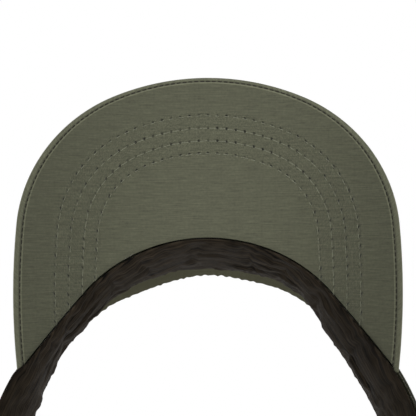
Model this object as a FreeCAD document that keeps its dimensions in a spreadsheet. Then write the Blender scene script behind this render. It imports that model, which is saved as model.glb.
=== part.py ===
import FreeCAD, Part
import math
import os

import Sketcher

# Open-crown sun visor (peaked visor cap), millimetres.
# +Z is up as worn, the bill points to -Y, and the origin is the centre of the head opening
# in the plane of the band's lower edge. The band is a stack of coaxial leaning shells, each
# a fixed inset from the outer face; the bill is an arched sheet with its own tilted frame.

doc = FreeCAD.newDocument("visor_cap")
sheet = doc.addObject("Spreadsheet::Sheet", "sizes")

SIZES = [
    # band plan: an egg of four tangent arcs, at the lower edge, outer face
    ("ring_length", 208.0),
    ("nose_radius", 71.0),
    ("flank_radius", 400.0),
    ("rear_radius", 95.0),
    ("lean", 10.5),
    # band side view
    ("root_height", 15.0),
    ("front_top", 65.0),
    ("rear_top", 27.0),
    ("side_fall", 4.5),
    ("sweat_front_top", 47.0),
    ("sweat_rear_top", 24.5),
    ("sweat_side_fall", 3.0),
    ("front_fall", 50.0),
    ("top_sweep_radius", 25.0),
    ("top_fold", 0.6),
    ("side_seam_place", 28.0),
    ("rear_gap", 60.0),
    # band layers, from the outside in
    ("panel_cloth", 0.5),
    ("interfacing", 0.6),
    ("facing_cloth", 0.4),
    ("sweat_cloth", 0.5),
    ("sweat_core", 1.4),
    ("sweat_lip", 0.8),
    ("sweat_hem", 1.4),
    # bill outline in its own plane, and its section
    ("bill_length", 70.5),
    ("bill_half_width", 82.3),
    ("bill_widest_back", 23.0),
    ("bill_front_radius", 102.0),
    ("bill_shoulder_radius", 67.0),
    ("bill_side_radius", 346.0),
    ("bill_tail", 72.0),
    ("bill_arch_radius", 130.0),
    ("bill_slope", 12.0),
    ("board_thickness", 1.8),
    ("bill_cloth", 0.45),
    ("edge_roll", 2.5),
    ("board_root_gap", 1.0),
    # sewing thread
    ("thread_width", 0.5),
    ("thread_height", 0.25),
    ("thread_gap", 0.02),
    ("row_first", 16.3),
    ("row_pitch", 5.6),
    ("row_root_gap", 1.0),
    ("edge_seam_inset", 1.7),
    ("top_seam_drop", 3.0),
    ("side_seam_offset", 2.0),
    ("sweat_seam_drop", 2.0),
    # hook-and-loop closure
    ("strap_low", 3.0),
    ("strap_width", 20.0),
    ("strap_cloth", 0.9),
    ("strap_overlap", 16.0),
    ("loop_reach", 22.0),
    ("loop_pile", 1.0),
    ("hook_pile", 0.9),
    ("pile_margin", 2.0),
    ("hook_pile_setback", 6.0),
    ("pile_gap", 0.35),
    ("hook_reach", 28.0),
    ("hook_bend_start", 24.0),
    ("hook_bend_length", 15.0),
    ("hinge_gap", 1.0),
    ("tack_margin", 2.0),
    ("tack_width", 1.2),
    # care label
    ("label_length", 30.0),
    ("label_width", 17.0),
    ("label_cloth", 0.3),
    ("label_back", 48.0),
    ("label_low", 4.0),
    # room that cutting tools run past the work
    ("reach", 30.0),
]
for line, (alias, value) in enumerate(SIZES, start=1):
    sheet.set(f"A{line}", alias)
    sheet.set(f"B{line}", str(value))
    sheet.setAlias(f"B{line}", alias)
doc.recompute()


def size(alias):
    return float(sheet.get(alias))


BILL_STACK = "(2 * sizes.bill_cloth + sizes.board_thickness)"
bill_stack = 2 * size("bill_cloth") + size("board_thickness")
tan_lean = math.tan(math.radians(size("lean")))

# insets of the layer faces from the band's outer face, as expressions
OUTER = "0"
PANEL_BACK = "sizes.panel_cloth"
FACING_FRONT = "(sizes.panel_cloth + sizes.interfacing)"
FACING_BACK = "(sizes.panel_cloth + sizes.interfacing + sizes.facing_cloth)"
CORE_FRONT = f"({FACING_BACK} + sizes.sweat_cloth)"
CORE_BACK = f"({FACING_BACK} + sizes.sweat_cloth + sizes.sweat_core)"
SWEAT_BACK = f"({FACING_BACK} + 2 * sizes.sweat_cloth + sizes.sweat_core)"
facing_back = size("panel_cloth") + size("interfacing") + size("facing_cloth")

# the bill's own frame: origin on its underside at the root's middle, X across, Y back up the
# slope, Z out of its top face
root_y = -(size("ring_length") / 2 - facing_back - size("root_height") * tan_lean)
bill_place = FreeCAD.Placement(
    FreeCAD.Vector(0, root_y, size("root_height")),
    FreeCAD.Rotation(FreeCAD.Vector(1, 0, 0), size("bill_slope")),
)


def origin_plane(body, role):
    return [f for f in body.Origin.OriginFeatures if f.Role == role][0]


def new_sketch(body, name, role):
    sketch = body.newObject("Sketcher::SketchObject", name)
    sketch.AttachmentSupport = (origin_plane(body, role), "")
    sketch.MapMode = "FlatFace"
    return sketch


def arc(center, radius, start, end):
    circle = Part.Circle(FreeCAD.Vector(*center, 0), FreeCAD.Vector(0, 0, 1), radius)
    return Part.ArcOfCircle(circle, start, end)


def segment(start, end):
    return Part.LineSegment(FreeCAD.Vector(*start, 0), FreeCAD.Vector(*end, 0))


def constrain(sketch, kinds):
    for kind in kinds:
        sketch.addConstraint(Sketcher.Constraint(*kind))


def dimension(sketch, name, kind, expression):
    index = sketch.addConstraint(Sketcher.Constraint(*kind))
    sketch.renameConstraint(index, name)
    sketch.setExpression(f"Constraints.{name}", expression)


# ---- tools shared by several pieces -------------------------------------------------------

egg_cache = {}


def egg_solid(inset):
    """Leaning plug inside one face of the band, from below the lower edge to above the top."""
    if inset in egg_cache:
        return egg_cache[inset]
    name = f"plug_{len(egg_cache)}"
    body = doc.addObject("PartDesign::Body", name)
    sketch = new_sketch(body, f"{name}_plan", "XY_Plane")
    grow = size("reach") * tan_lean
    nose = size("nose_radius") + grow
    flank = size("flank_radius") + grow
    rear = size("rear_radius") + grow
    nose_y = size("nose_radius") - size("ring_length") / 2
    rear_y = size("ring_length") / 2 - size("rear_radius")
    gap = rear_y - nose_y
    to_nose = flank - nose
    to_rear = flank - rear
    along = (to_nose**2 - to_rear**2 + gap**2) / (2 * gap)
    flank_x = -math.sqrt(to_nose**2 - along**2)
    flank_y = nose_y + along
    turn_nose = math.atan2(nose_y - flank_y, -flank_x)
    turn_rear = math.atan2(rear_y - flank_y, -flank_x)
    sketch.addGeometry([
        arc((0, nose_y), nose, math.pi - turn_nose, 2 * math.pi + turn_nose),
        arc((flank_x, flank_y), flank, turn_nose, turn_rear),
        arc((0, rear_y), rear, turn_rear, math.pi - turn_rear),
        arc((-flank_x, flank_y), flank, math.pi - turn_rear, math.pi - turn_nose),
    ], False)
    constrain(sketch, [
        ("Tangent", 0, 2, 1, 1), ("Tangent", 1, 2, 2, 1),
        ("Tangent", 2, 2, 3, 1), ("Tangent", 3, 2, 0, 1),
        ("PointOnObject", 0, 3, -2), ("PointOnObject", 2, 3, -2), ("Equal", 1, 3),
    ])
    wider = "sizes.reach * tan(sizes.lean * 1 deg)"
    dimension(sketch, "nose", ("Radius", 0, nose), f"sizes.nose_radius + {wider} - {inset}")
    dimension(sketch, "flank", ("Radius", 1, flank), f"sizes.flank_radius + {wider} - {inset}")
    dimension(sketch, "rear", ("Radius", 2, rear), f"sizes.rear_radius + {wider} - {inset}")
    dimension(sketch, "nose_place", ("DistanceY", 0, 3, -1, 1, -nose_y),
              "sizes.ring_length / 2 - sizes.nose_radius")
    dimension(sketch, "rear_place", ("DistanceY", -1, 1, 2, 3, rear_y),
              "sizes.ring_length / 2 - sizes.rear_radius")
    sketch.setExpression("AttachmentOffset.Base.z", "-sizes.reach")
    pad = body.newObject("PartDesign::Pad", f"{name}_pad")
    pad.Profile = sketch
    pad.setExpression("Length", "sizes.front_top + 2 * sizes.reach")
    pad.setExpression("TaperAngle", "-sizes.lean")
    egg_cache[inset] = body
    return body


profile_cache = {}


def side_profile(front_top, rear_top, fall, depth, low="0"):
    """Everything under one of the band's top lines, seen from the side, above a level line.

    The line drops steeply back from the front's middle, sweeps round an arc and runs gently
    down to the rear. Depth is how far the layer lies under the band's outer face.
    """
    key = (front_top, rear_top, fall, depth, low)
    if key in profile_cache:
        return profile_cache[key]
    name = f"side_{len(profile_cache)}"
    body = doc.addObject("PartDesign::Body", name)
    sketch = new_sketch(body, f"{name}_view", "YZ_Plane")
    half = size("ring_length") / 2
    radius = size("top_sweep_radius")
    steep = math.radians(size("front_fall"))
    gentle = math.radians(size("side_fall"))
    back = size("rear_top")
    peak = size("front_top") * (1 + tan_lean * math.tan(steep))
    drop_total = peak - back - 2 * half * math.tan(gentle)
    corner_y = drop_total / (math.tan(steep) - math.tan(gentle)) - half
    corner_z = back + (half - corner_y) * math.tan(gentle)
    reach = radius * math.tan((steep - gentle) / 2)
    first = (corner_y - reach * math.cos(steep), corner_z + reach * math.sin(steep))
    last = (corner_y + reach * math.cos(gentle), corner_z - reach * math.sin(gentle))
    center = (last[0] + radius * math.sin(gentle), last[1] + radius * math.cos(gentle))
    sketch.addGeometry([
        segment(first, (-half, peak)),
        arc(center, radius, 3 * math.pi / 2 - steep, 3 * math.pi / 2 - gentle),
        segment((half, back), last),
        segment((half, back), (half, 0)),
        segment((half, 0), (-half, 0)),
        segment((-half, 0), (-half, peak)),
    ], False)
    constrain(sketch, [
        ("Tangent", 0, 1, 1, 1), ("Tangent", 1, 2, 2, 2),
        ("Coincident", 2, 1, 3, 1), ("Vertical", 3), ("Coincident", 3, 2, 4, 1),
        ("Horizontal", 4), ("Coincident", 4, 2, 5, 1), ("Vertical", 5), ("Coincident", 5, 2, 0, 2),
    ])
    inset = f"({depth} + ({front_top}) * tan(sizes.lean * 1 deg))"
    dimension(sketch, "front", ("DistanceX", 4, 2, -1, 1, half), "sizes.ring_length / 2")
    dimension(sketch, "back", ("DistanceX", -1, 1, 2, 1, half), "sizes.ring_length / 2")
    dimension(sketch, "peak", ("DistanceY", -1, 1, 5, 2, peak),
              f"{front_top} + {inset} * tan(sizes.front_fall * 1 deg)")
    dimension(sketch, "rear_top", ("DistanceY", -1, 1, 2, 1, back), rear_top)
    dimension(sketch, "low", ("DistanceY", -1, 1, 4, 1, 0), low)
    dimension(sketch, "steep", ("Angle", 0, math.pi - steep), "(180 - sizes.front_fall) * 1 deg")
    dimension(sketch, "gentle", ("Angle", 2, math.pi - gentle), f"(180 - {fall}) * 1 deg")
    dimension(sketch, "sweep", ("Radius", 1, radius), "sizes.top_sweep_radius")
    pad = body.newObject("PartDesign::Pad", f"{name}_pad")
    pad.Profile = sketch
    pad.Midplane = True
    pad.setExpression("Length", "sizes.ring_length + 2 * sizes.reach")
    profile_cache[key] = body
    return body


outline_cache = {}


def bill_outline(inset):
    """Prism over the bill's outline, drawn in a fixed distance from its edge."""
    if inset in outline_cache:
        return outline_cache[inset]
    name = f"outline_{len(outline_cache)}"
    body = doc.addObject("PartDesign::Body", name)
    sketch = new_sketch(body, f"{name}_plan", "XY_Plane")
    front = size("bill_front_radius")
    shoulder = size("bill_shoulder_radius")
    side = size("bill_side_radius")
    tail = size("bill_tail")
    front_y = front - size("bill_length")
    side_x = size("bill_half_width") - side
    side_y = size("bill_widest_back")
    # the shoulder arc's centre lies front - shoulder from one centre, side - shoulder from the other
    span = math.hypot(side_x, side_y - front_y)
    along = ((front - shoulder) ** 2 - (side - shoulder) ** 2 + span**2) / (2 * span)
    off = math.sqrt((front - shoulder) ** 2 - along**2)
    ux, uy = side_x / span, (side_y - front_y) / span
    centers = [(along * ux - off * uy * s, front_y + along * uy + off * ux * s) for s in (1, -1)]
    shoulder_x, shoulder_y = max(centers, key=lambda c: c[0] - c[1])
    turn_front = math.atan2(shoulder_y - front_y, shoulder_x)
    turn_side = math.atan2(shoulder_y - side_y, shoulder_x - side_x)
    turn_tail = math.asin((tail - side_y) / side)
    sketch.addGeometry([
        arc((0, front_y), front, math.pi - turn_front, 2 * math.pi + turn_front),
        arc((shoulder_x, shoulder_y), shoulder, turn_front, turn_side),
        arc((side_x, side_y), side, turn_side, turn_tail),
        segment((side_x + side * math.cos(turn_tail), tail),
                (-side_x - side * math.cos(turn_tail), tail)),
        arc((-side_x, side_y), side, math.pi - turn_tail, math.pi - turn_side),
        arc((-shoulder_x, shoulder_y), shoulder, math.pi - turn_side, math.pi - turn_front),
    ], False)
    constrain(sketch, [
        ("Tangent", 0, 2, 1, 1), ("Tangent", 1, 2, 2, 1), ("Coincident", 2, 2, 3, 1),
        ("Coincident", 3, 2, 4, 1), ("Tangent", 4, 2, 5, 1), ("Tangent", 5, 2, 0, 1),
        ("PointOnObject", 0, 3, -2), ("Horizontal", 3), ("Equal", 1, 5), ("Equal", 2, 4),
        ("Symmetric", 2, 3, 4, 3, -2),
    ])
    dimension(sketch, "front", ("Radius", 0, front), f"sizes.bill_front_radius - {inset}")
    dimension(sketch, "shoulder", ("Radius", 1, shoulder), f"sizes.bill_shoulder_radius - {inset}")
    dimension(sketch, "side", ("Radius", 2, side), f"sizes.bill_side_radius - {inset}")
    dimension(sketch, "front_place", ("DistanceY", -1, 1, 0, 3, front_y),
              "sizes.bill_front_radius - sizes.bill_length")
    dimension(sketch, "side_across", ("DistanceX", 2, 3, -1, 1, -side_x),
              "sizes.bill_side_radius - sizes.bill_half_width")
    dimension(sketch, "side_back", ("DistanceY", -1, 1, 2, 3, side_y), "sizes.bill_widest_back")
    dimension(sketch, "tail", ("DistanceY", -1, 1, 3, 1, tail), "sizes.bill_tail")
    pad = body.newObject("PartDesign::Pad", f"{name}_pad")
    pad.Profile = sketch
    pad.Midplane = True
    pad.setExpression("Length", "2 * (sizes.bill_half_width + sizes.reach)")
    body.Placement = bill_place
    outline_cache[inset] = body
    return body


arch_cache = {}


def arch_solid(height):
    """Round bar under one face of the arched bill, a given height above its underside."""
    if height in arch_cache:
        return arch_cache[height]
    bar = doc.addObject("Part::Cylinder", f"arch_{len(arch_cache)}")
    bar.setExpression("Radius", f"sizes.bill_arch_radius + {height}")
    bar.setExpression("Height", "sizes.bill_length + sizes.bill_tail + sizes.reach")
    along_bill = FreeCAD.Rotation(FreeCAD.Vector(1, 0, 0), -90)
    start = FreeCAD.Vector(0, -size("bill_length") - size("reach") / 2, -size("bill_arch_radius"))
    bar.Placement = bill_place.multiply(FreeCAD.Placement(start, along_bill))
    arch_cache[height] = bar
    return bar


def common(name, shapes):
    piece = doc.addObject("Part::MultiCommon", name)
    piece.Shapes = shapes
    piece.Refine = False
    return piece


def cut(name, base, tool):
    piece = doc.addObject("Part::Cut", name)
    piece.Base = base
    piece.Tool = tool
    piece.Refine = False
    return piece


def fuse(name, shapes):
    piece = doc.addObject("Part::MultiFuse", name)
    piece.Shapes = shapes
    piece.Refine = False
    return piece


shell_cache = {}


def band_shell(outer, inner):
    """One layer of the band between two insets, all the way round."""
    if (outer, inner) not in shell_cache:
        name = f"layer_{len(shell_cache)}"
        shell_cache[(outer, inner)] = cut(name, egg_solid(outer), egg_solid(inner))
    return shell_cache[(outer, inner)]


def bill_layer(name, low, high, inset):
    """One layer of the bill between two heights above its underside, inside an inset outline."""
    ring = cut(f"{name}_ring", arch_solid(high), arch_solid(low))
    return common(f"{name}_sheet", [ring, bill_outline(inset)])


def box(name, lows, highs):
    """Block between two corners, each coordinate an expression."""
    block = doc.addObject("Part::Box", name)
    for axis, side, low, high in zip("xyz", ("Length", "Width", "Height"), lows, highs):
        block.setExpression(side, f"({high}) - ({low})")
        block.setExpression(f"Placement.Base.{axis}", low)
    return block


nodes = {}


def node(name, piece):
    piece.Label = name
    nodes[name] = piece
    return piece


# ---- regions of the band -------------------------------------------------------------------

FAR = "(sizes.ring_length / 2 + sizes.reach)"
SEAM = "(-sizes.side_seam_place)"
GAP = "(sizes.rear_gap / 2)"
UP = "(sizes.front_top + sizes.reach)"
front_region = box("front_region", (f"-{FAR}", f"-{FAR}", "-sizes.reach"), (FAR, SEAM, UP))
left_region = box("left_region", (GAP, SEAM, "-sizes.reach"), (FAR, FAR, UP))
right_region = box("right_region", (f"-{FAR}", SEAM, "-sizes.reach"), (f"-{GAP}", FAR, UP))
rear_gap = box("rear_gap_room", (f"-{GAP}", "0", "-sizes.reach"), (GAP, FAR, UP))



def panel_top(depth, lower="0"):
    """Region under the panels' top line, or under a line a little lower than it."""
    return side_profile(f"sizes.front_top - {lower}", f"sizes.rear_top - {lower}",
                        "sizes.side_fall", depth)


def sweat_top(depth, lower="0", low="0"):
    """The same for the sweatband's top line."""
    return side_profile(f"sizes.sweat_front_top - {lower}", f"sizes.sweat_rear_top - {lower}",
                        "sizes.sweat_side_fall", depth, low)


panel_profile = panel_top(OUTER)
inner_profile = panel_top(PANEL_BACK, "sizes.top_fold")
facing_profile = panel_top(FACING_FRONT)
sweat_profile = sweat_top(FACING_BACK)

bill_block = common("bill_block", [arch_solid(BILL_STACK), bill_outline("0")])
lip_block = common("lip_block", [arch_solid("(-sizes.sweat_lip)"), bill_outline("0")])
hem_block = common("hem_block", [arch_solid("(sizes.sweat_hem - sizes.sweat_lip)"),
                                 bill_outline("0")])


def panel(name, outer, inner, region, profile):
    strip = common(f"{name}_strip", [band_shell(outer, inner), profile, region])
    return node(name, cut(f"{name}_cut", strip, bill_block))


panel("front_panel", OUTER, PANEL_BACK, front_region, panel_profile)
panel("side_panel_left", OUTER, PANEL_BACK, left_region, panel_profile)
panel("side_panel_right", OUTER, PANEL_BACK, right_region, panel_profile)
panel("front_interfacing", PANEL_BACK, FACING_FRONT, front_region, inner_profile)
panel("side_interfacing_left", PANEL_BACK, FACING_FRONT, left_region, inner_profile)
panel("side_interfacing_right", PANEL_BACK, FACING_FRONT, right_region, inner_profile)

facing_strip = common("facing_strip", [band_shell(FACING_FRONT, FACING_BACK), facing_profile])
facing_open = cut("facing_open", facing_strip, rear_gap)
node("band_facing", cut("facing_cut", facing_open, bill_block))

# ---- sweatband: cloth folded round a soft core, open along its upper edge ------------------

sweat_strip = common("sweat_strip", [band_shell(FACING_BACK, SWEAT_BACK), sweat_profile])
sweat_open = cut("sweat_open", sweat_strip, rear_gap)
sweat_block = cut("sweat_block", sweat_open, lip_block)
core_profile = sweat_top(FACING_BACK, low="sizes.sweat_hem")
core_strip = common("core_strip", [band_shell(CORE_FRONT, CORE_BACK), core_profile])
core_open = cut("core_open", core_strip, rear_gap)
core = node("sweatband_core", cut("core_cut", core_open, hem_block))
node("sweatband_face", cut("sweat_face", sweat_block, core))

# ---- bill ----------------------------------------------------------------------------------

CLOTH = "sizes.bill_cloth"
BOARD_TOP = "(sizes.bill_cloth + sizes.board_thickness)"
root_plug = egg_solid(FACING_BACK)
board_plug = egg_solid(f"({FACING_BACK} - sizes.board_root_gap)")

board_sheet = bill_layer("board", CLOTH, BOARD_TOP, "sizes.bill_cloth")
node("bill_board", cut("board_cut", board_sheet, board_plug))
under_sheet = bill_layer("under", "0", CLOTH, "sizes.edge_roll")
node("bill_under_cover", cut("under_cut", under_sheet, root_plug))
whole_sheet = bill_layer("whole", "0", BILL_STACK, "0")
shelled = cut("cover_shelled", whole_sheet, board_sheet)
rolled = cut("cover_rolled", shelled, under_sheet)
node("bill_top_cover", cut("cover_cut", rolled, root_plug))

ROWS = 4
row_plug = egg_solid("(-sizes.row_root_gap)")
UNDER_THREAD = "(-sizes.thread_height)"
TOP_THREAD = f"({BILL_STACK} + sizes.thread_height)"


def bill_thread(name, low, high, inset, plug):
    """Line of stitching on one face of the bill, a fixed distance in from its edge."""
    sheet_piece = bill_layer(name, low, high, inset)
    hollow = cut(f"{name}_line", sheet_piece, bill_outline(f"({inset} + sizes.thread_width)"))
    return cut(f"{name}_thread", hollow, plug)


for row in range(ROWS):
    place = f"(sizes.row_first + {row} * sizes.row_pitch)"
    lower = bill_thread(f"row_{row}_under", UNDER_THREAD, "0", place, row_plug)
    upper = bill_thread(f"row_{row}_top", BILL_STACK, TOP_THREAD, place, row_plug)
    node(f"bill_stitch_row_{row + 1}", fuse(f"row_{row}", [lower, upper]))
node("bill_edge_stitch", bill_thread("edge_seam", UNDER_THREAD, "0", "sizes.edge_seam_inset",
                                     row_plug))

# ---- stitching on the band -----------------------------------------------------------------

THREAD_FOOT = "(-sizes.thread_gap)"
THREAD_OUT = "(-sizes.thread_gap - sizes.thread_height)"


def level_thread(name, shell, upper, lower):
    """Line of stitching between two regions that follow one of the band's top lines."""
    line = cut(f"{name}_line", common(f"{name}_high", [shell, upper]), lower)
    return cut(f"{name}_open", line, rear_gap)


TOP_DROP = "sizes.top_seam_drop"
TOP_DROP_END = "sizes.top_seam_drop - sizes.thread_width"
node("top_edge_stitch", level_thread("top_seam", band_shell(THREAD_OUT, THREAD_FOOT),
                                     panel_top(OUTER, TOP_DROP), panel_top(OUTER, TOP_DROP_END)))
sweat_foot = f"({SWEAT_BACK} + sizes.thread_gap)"
sweat_shell = band_shell(sweat_foot, f"({sweat_foot} + sizes.thread_height)")
SWEAT_DROP = "sizes.sweat_seam_drop"
SWEAT_DROP_END = "sizes.sweat_seam_drop - sizes.thread_width"
node("sweatband_stitch", level_thread("sweat_seam", sweat_shell, sweat_top(SWEAT_BACK, SWEAT_DROP),
                                      sweat_top(SWEAT_BACK, SWEAT_DROP_END)))

seam_profile = panel_top(OUTER, "2 * sizes.top_seam_drop")
SEAM_BACK = "(sizes.side_seam_offset - sizes.side_seam_place)"
SEAM_END = "(sizes.side_seam_offset - sizes.side_seam_place + sizes.thread_width)"
for side, low_x, high_x in (("left", "0", FAR), ("right", f"-{FAR}", "0")):
    slot = box(f"seam_slot_{side}", (low_x, SEAM_BACK, "sizes.top_seam_drop"),
               (high_x, SEAM_END, UP))
    node(f"side_seam_stitch_{side}",
         common(f"seam_{side}", [band_shell(THREAD_OUT, THREAD_FOOT), seam_profile, slot]))

# ---- care label on the sweatband -----------------------------------------------------------

label_room = box("label_room", (f"-{FAR}", "sizes.label_back", "sizes.label_low"),
                 (f"-{GAP}", "sizes.label_back + sizes.label_length",
                  "sizes.label_low + sizes.label_width"))
label_shell = band_shell(SWEAT_BACK, f"({SWEAT_BACK} + sizes.label_cloth)")
node("care_label", common("label_patch", [label_shell, label_room]))

# ---- rear closure: arcs of the band's own cone, places given as lengths along the rear arc --

rear_y = size("ring_length") / 2 - size("rear_radius")


def cone_arc(name, center, radius, outset, thickness, start, sweep, low, width):
    """Strip of a leaning cone: start and sweep are angles from +Y towards +X, in degrees.

    radius, outset, thickness, sweep, low and width are expressions."""
    outside = doc.addObject("Part::Cone", f"{name}_outside")
    inside = doc.addObject("Part::Cone", f"{name}_inside")
    face = f"{radius} + {outset} - ({low}) * tan(sizes.lean * 1 deg)"
    top = f"({width}) * tan(sizes.lean * 1 deg)"
    outside.setExpression("Radius1", f"{face} + {thickness}")
    outside.setExpression("Radius2", f"{face} + {thickness} - {top}")
    inside.setExpression("Radius1", face)
    inside.setExpression("Radius2", f"{face} - {top}")
    for cone in (outside, inside):
        cone.setExpression("Height", width)
        base = FreeCAD.Vector(center[0], center[1], 0)
        cone.Placement = FreeCAD.Placement(base, FreeCAD.Rotation(FreeCAD.Vector(0, 0, 1), 90 - start))
        cone.setExpression("Placement.Base.z", low)
    outside.setExpression("Angle", sweep)
    return cut(name, outside, inside)


def rear_strip(name, outset, thickness, first, last, low, width):
    """Strip on the rear arc between two lengths from the middle, last being nearer +X."""
    start = math.degrees(last / size("rear_radius"))
    sweep = f"{last - first} / sizes.rear_radius * 1 rad"
    return cone_arc(name, (0, rear_y), "sizes.rear_radius", outset, thickness, start, sweep,
                    low, width)


half_gap = math.asin(size("rear_gap") / 2 / size("rear_radius")) * size("rear_radius")
sewn_end = half_gap + size("strap_overlap")
PILE_LOW = "(sizes.strap_low + sizes.pile_margin)"
PILE_WIDTH = "(sizes.strap_width - 2 * sizes.pile_margin)"
LOOP_FACE = "(sizes.strap_cloth + sizes.loop_pile)"

node("loop_strap", rear_strip("loop_strip", "0", "sizes.strap_cloth", -sewn_end,
                              size("loop_reach"), "sizes.strap_low", "sizes.strap_width"))
node("loop_patch", rear_strip("loop_pile_strip", "sizes.strap_cloth", "sizes.loop_pile",
                              -half_gap + size("pile_margin"),
                              size("loop_reach") - size("pile_margin"), PILE_LOW, PILE_WIDTH))

# the moving strap lies over the loop patch and bends in to the band at its sewn root
bend_start = size("hook_bend_start")
bend_length = size("hook_bend_length")
strap_out = size("strap_cloth") + size("loop_pile") + size("pile_gap") + size("hook_pile")
strap_radius = size("rear_radius") + strap_out
bend_drop = strap_out - size("pile_gap")
bend_radius = 1 / (2 * bend_drop / bend_length**2 + 1 / strap_radius)
bend_angle = bend_start / size("rear_radius")
bend_sweep = bend_length / bend_radius
bend_center = (
    (strap_radius - bend_radius) * math.sin(bend_angle),
    rear_y + (strap_radius - bend_radius) * math.cos(bend_angle),
)
STRAP_OUT = "(sizes.strap_cloth + sizes.loop_pile + sizes.pile_gap + sizes.hook_pile)"
BEND_RADIUS = (f"(1 / (2 * ({STRAP_OUT} - sizes.pile_gap) / (sizes.hook_bend_length ^ 2)"
               f" + 1 / (sizes.rear_radius + {STRAP_OUT})))")
over = rear_strip("hook_over", STRAP_OUT, "sizes.strap_cloth", -size("hook_reach"), bend_start,
                  "sizes.strap_low", "sizes.strap_width")
bend = cone_arc("hook_bend", bend_center, BEND_RADIUS, "0", "sizes.strap_cloth",
                math.degrees(bend_angle + bend_sweep),
                f"sizes.hook_bend_length / {BEND_RADIUS} * 1 rad",
                "sizes.strap_low", "sizes.strap_width")
node("hook_strap", fuse("hook_strap_whole", [over, bend]))
node("hook_patch", rear_strip("hook_pile_strip", f"({STRAP_OUT} - sizes.hook_pile)",
                              "sizes.hook_pile", size("pile_margin") - size("hook_reach"),
                              bend_start - size("hook_pile_setback"), PILE_LOW, PILE_WIDTH))

# the sewn root of the moving strap, and the hinge line along its outer edge
hinge_angle = bend_angle + bend_sweep
hinge_mid = bend_radius + size("strap_cloth") / 2
hinge_foot = FreeCAD.Vector(
    bend_center[0] + hinge_mid * math.sin(hinge_angle),
    bend_center[1] + hinge_mid * math.cos(hinge_angle),
    0,
)
hinge_axis = FreeCAD.Vector(-math.sin(hinge_angle) * tan_lean, -math.cos(hinge_angle) * tan_lean, 1)
hinge_axis.normalize()
root_start = math.atan2(hinge_foot.x, hinge_foot.y - rear_y) * size("rear_radius") + size("hinge_gap")
root_end = root_start + size("strap_overlap")
node("hook_strap_root", rear_strip("hook_root", "0", "sizes.strap_cloth", root_start, root_end,
                                   "sizes.strap_low", "sizes.strap_width"))

TACK_LOW = "(sizes.strap_low + sizes.tack_margin)"
TACK_WIDTH = "(sizes.strap_width - 2 * sizes.tack_margin)"


def tacks(name, first, last):
    """Two bars of close stitching across a strap's sewn end."""
    margin = size("tack_margin")
    bar = size("tack_width")
    near = rear_strip(f"{name}_near", "sizes.strap_cloth", "sizes.thread_height",
                      first + margin, first + margin + bar, TACK_LOW, TACK_WIDTH)
    far = rear_strip(f"{name}_far", "sizes.strap_cloth", "sizes.thread_height",
                     last - margin - bar, last - margin, TACK_LOW, TACK_WIDTH)
    return node(name, fuse(f"{name}_bars", [near, far]))


tacks("loop_strap_tacks", -sewn_end, -half_gap)
tacks("hook_strap_tacks", root_start, root_end)

# ---- build, test and write -----------------------------------------------------------------

doc.recompute()
for item in doc.Objects:
    if "Invalid" in item.State or "Error" in item.State:
        raise RuntimeError(f"{item.Name} did not build: {item.State}")
for name, piece in nodes.items():
    shape = piece.Shape
    if shape.isNull() or not shape.isValid() or not shape.Solids:
        raise RuntimeError(f"{name} has no valid solid")
os.makedirs("parts", exist_ok=True)
for name, piece in nodes.items():
    piece.Shape.exportStep(f"parts/{name}.step")
    bounds = piece.Shape.BoundBox
    print(f"{name}: {len(piece.Shape.Solids)} solids, {piece.Shape.Volume:.1f} mm3, "
          f"x {bounds.XMin:.1f}..{bounds.XMax:.1f}, y {bounds.YMin:.1f}..{bounds.YMax:.1f}, "
          f"z {bounds.ZMin:.1f}..{bounds.ZMax:.1f}")
print(f"hinge foot {hinge_foot.x:.4f} {hinge_foot.y:.4f} {hinge_foot.z:.4f}, "
      f"axis {hinge_axis.x:.5f} {hinge_axis.y:.5f} {hinge_axis.z:.5f}")
print(f"bill frame origin {bill_place.Base.x:.3f} {bill_place.Base.y:.3f} {bill_place.Base.z:.3f}")
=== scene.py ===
# %% [markdown]
# # A sun visor cap, sewn around its CAD frame
# The cap is worn with +Z up and its bill towards -Y, and the origin is the centre of the head
# opening. The CAD solids are plain shells. Here each one gets its cloth: folds, puckers, rolled
# edges and real stitches. Everything is in metres and stays where the CAD solid is.

# %% Load the frame
import math

import bmesh
import bpy
import numpy as np
from mathutils import Matrix, Vector


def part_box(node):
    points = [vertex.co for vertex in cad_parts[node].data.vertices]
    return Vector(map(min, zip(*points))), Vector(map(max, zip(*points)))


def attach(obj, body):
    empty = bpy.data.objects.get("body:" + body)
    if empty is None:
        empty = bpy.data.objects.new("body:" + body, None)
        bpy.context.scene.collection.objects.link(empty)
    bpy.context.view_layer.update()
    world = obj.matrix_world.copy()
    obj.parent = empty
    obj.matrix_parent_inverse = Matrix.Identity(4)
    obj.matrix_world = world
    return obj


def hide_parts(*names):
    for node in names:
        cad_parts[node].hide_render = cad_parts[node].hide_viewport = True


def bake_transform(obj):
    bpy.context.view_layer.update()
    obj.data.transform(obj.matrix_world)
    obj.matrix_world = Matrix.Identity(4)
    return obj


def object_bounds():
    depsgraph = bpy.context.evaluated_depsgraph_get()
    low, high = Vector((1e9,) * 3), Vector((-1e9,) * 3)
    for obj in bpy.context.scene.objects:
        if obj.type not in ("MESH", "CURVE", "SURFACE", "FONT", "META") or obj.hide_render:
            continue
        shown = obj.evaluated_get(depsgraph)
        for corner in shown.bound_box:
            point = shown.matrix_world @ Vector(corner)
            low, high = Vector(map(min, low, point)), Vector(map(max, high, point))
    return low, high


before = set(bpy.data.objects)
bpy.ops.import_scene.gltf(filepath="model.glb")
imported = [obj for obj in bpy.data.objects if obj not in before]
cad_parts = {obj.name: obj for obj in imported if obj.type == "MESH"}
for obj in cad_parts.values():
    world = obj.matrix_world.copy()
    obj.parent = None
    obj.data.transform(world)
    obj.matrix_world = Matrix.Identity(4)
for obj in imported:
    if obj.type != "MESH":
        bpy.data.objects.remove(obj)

cad_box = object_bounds()
MM = 0.001
print("CAD box", cad_box)

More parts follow.
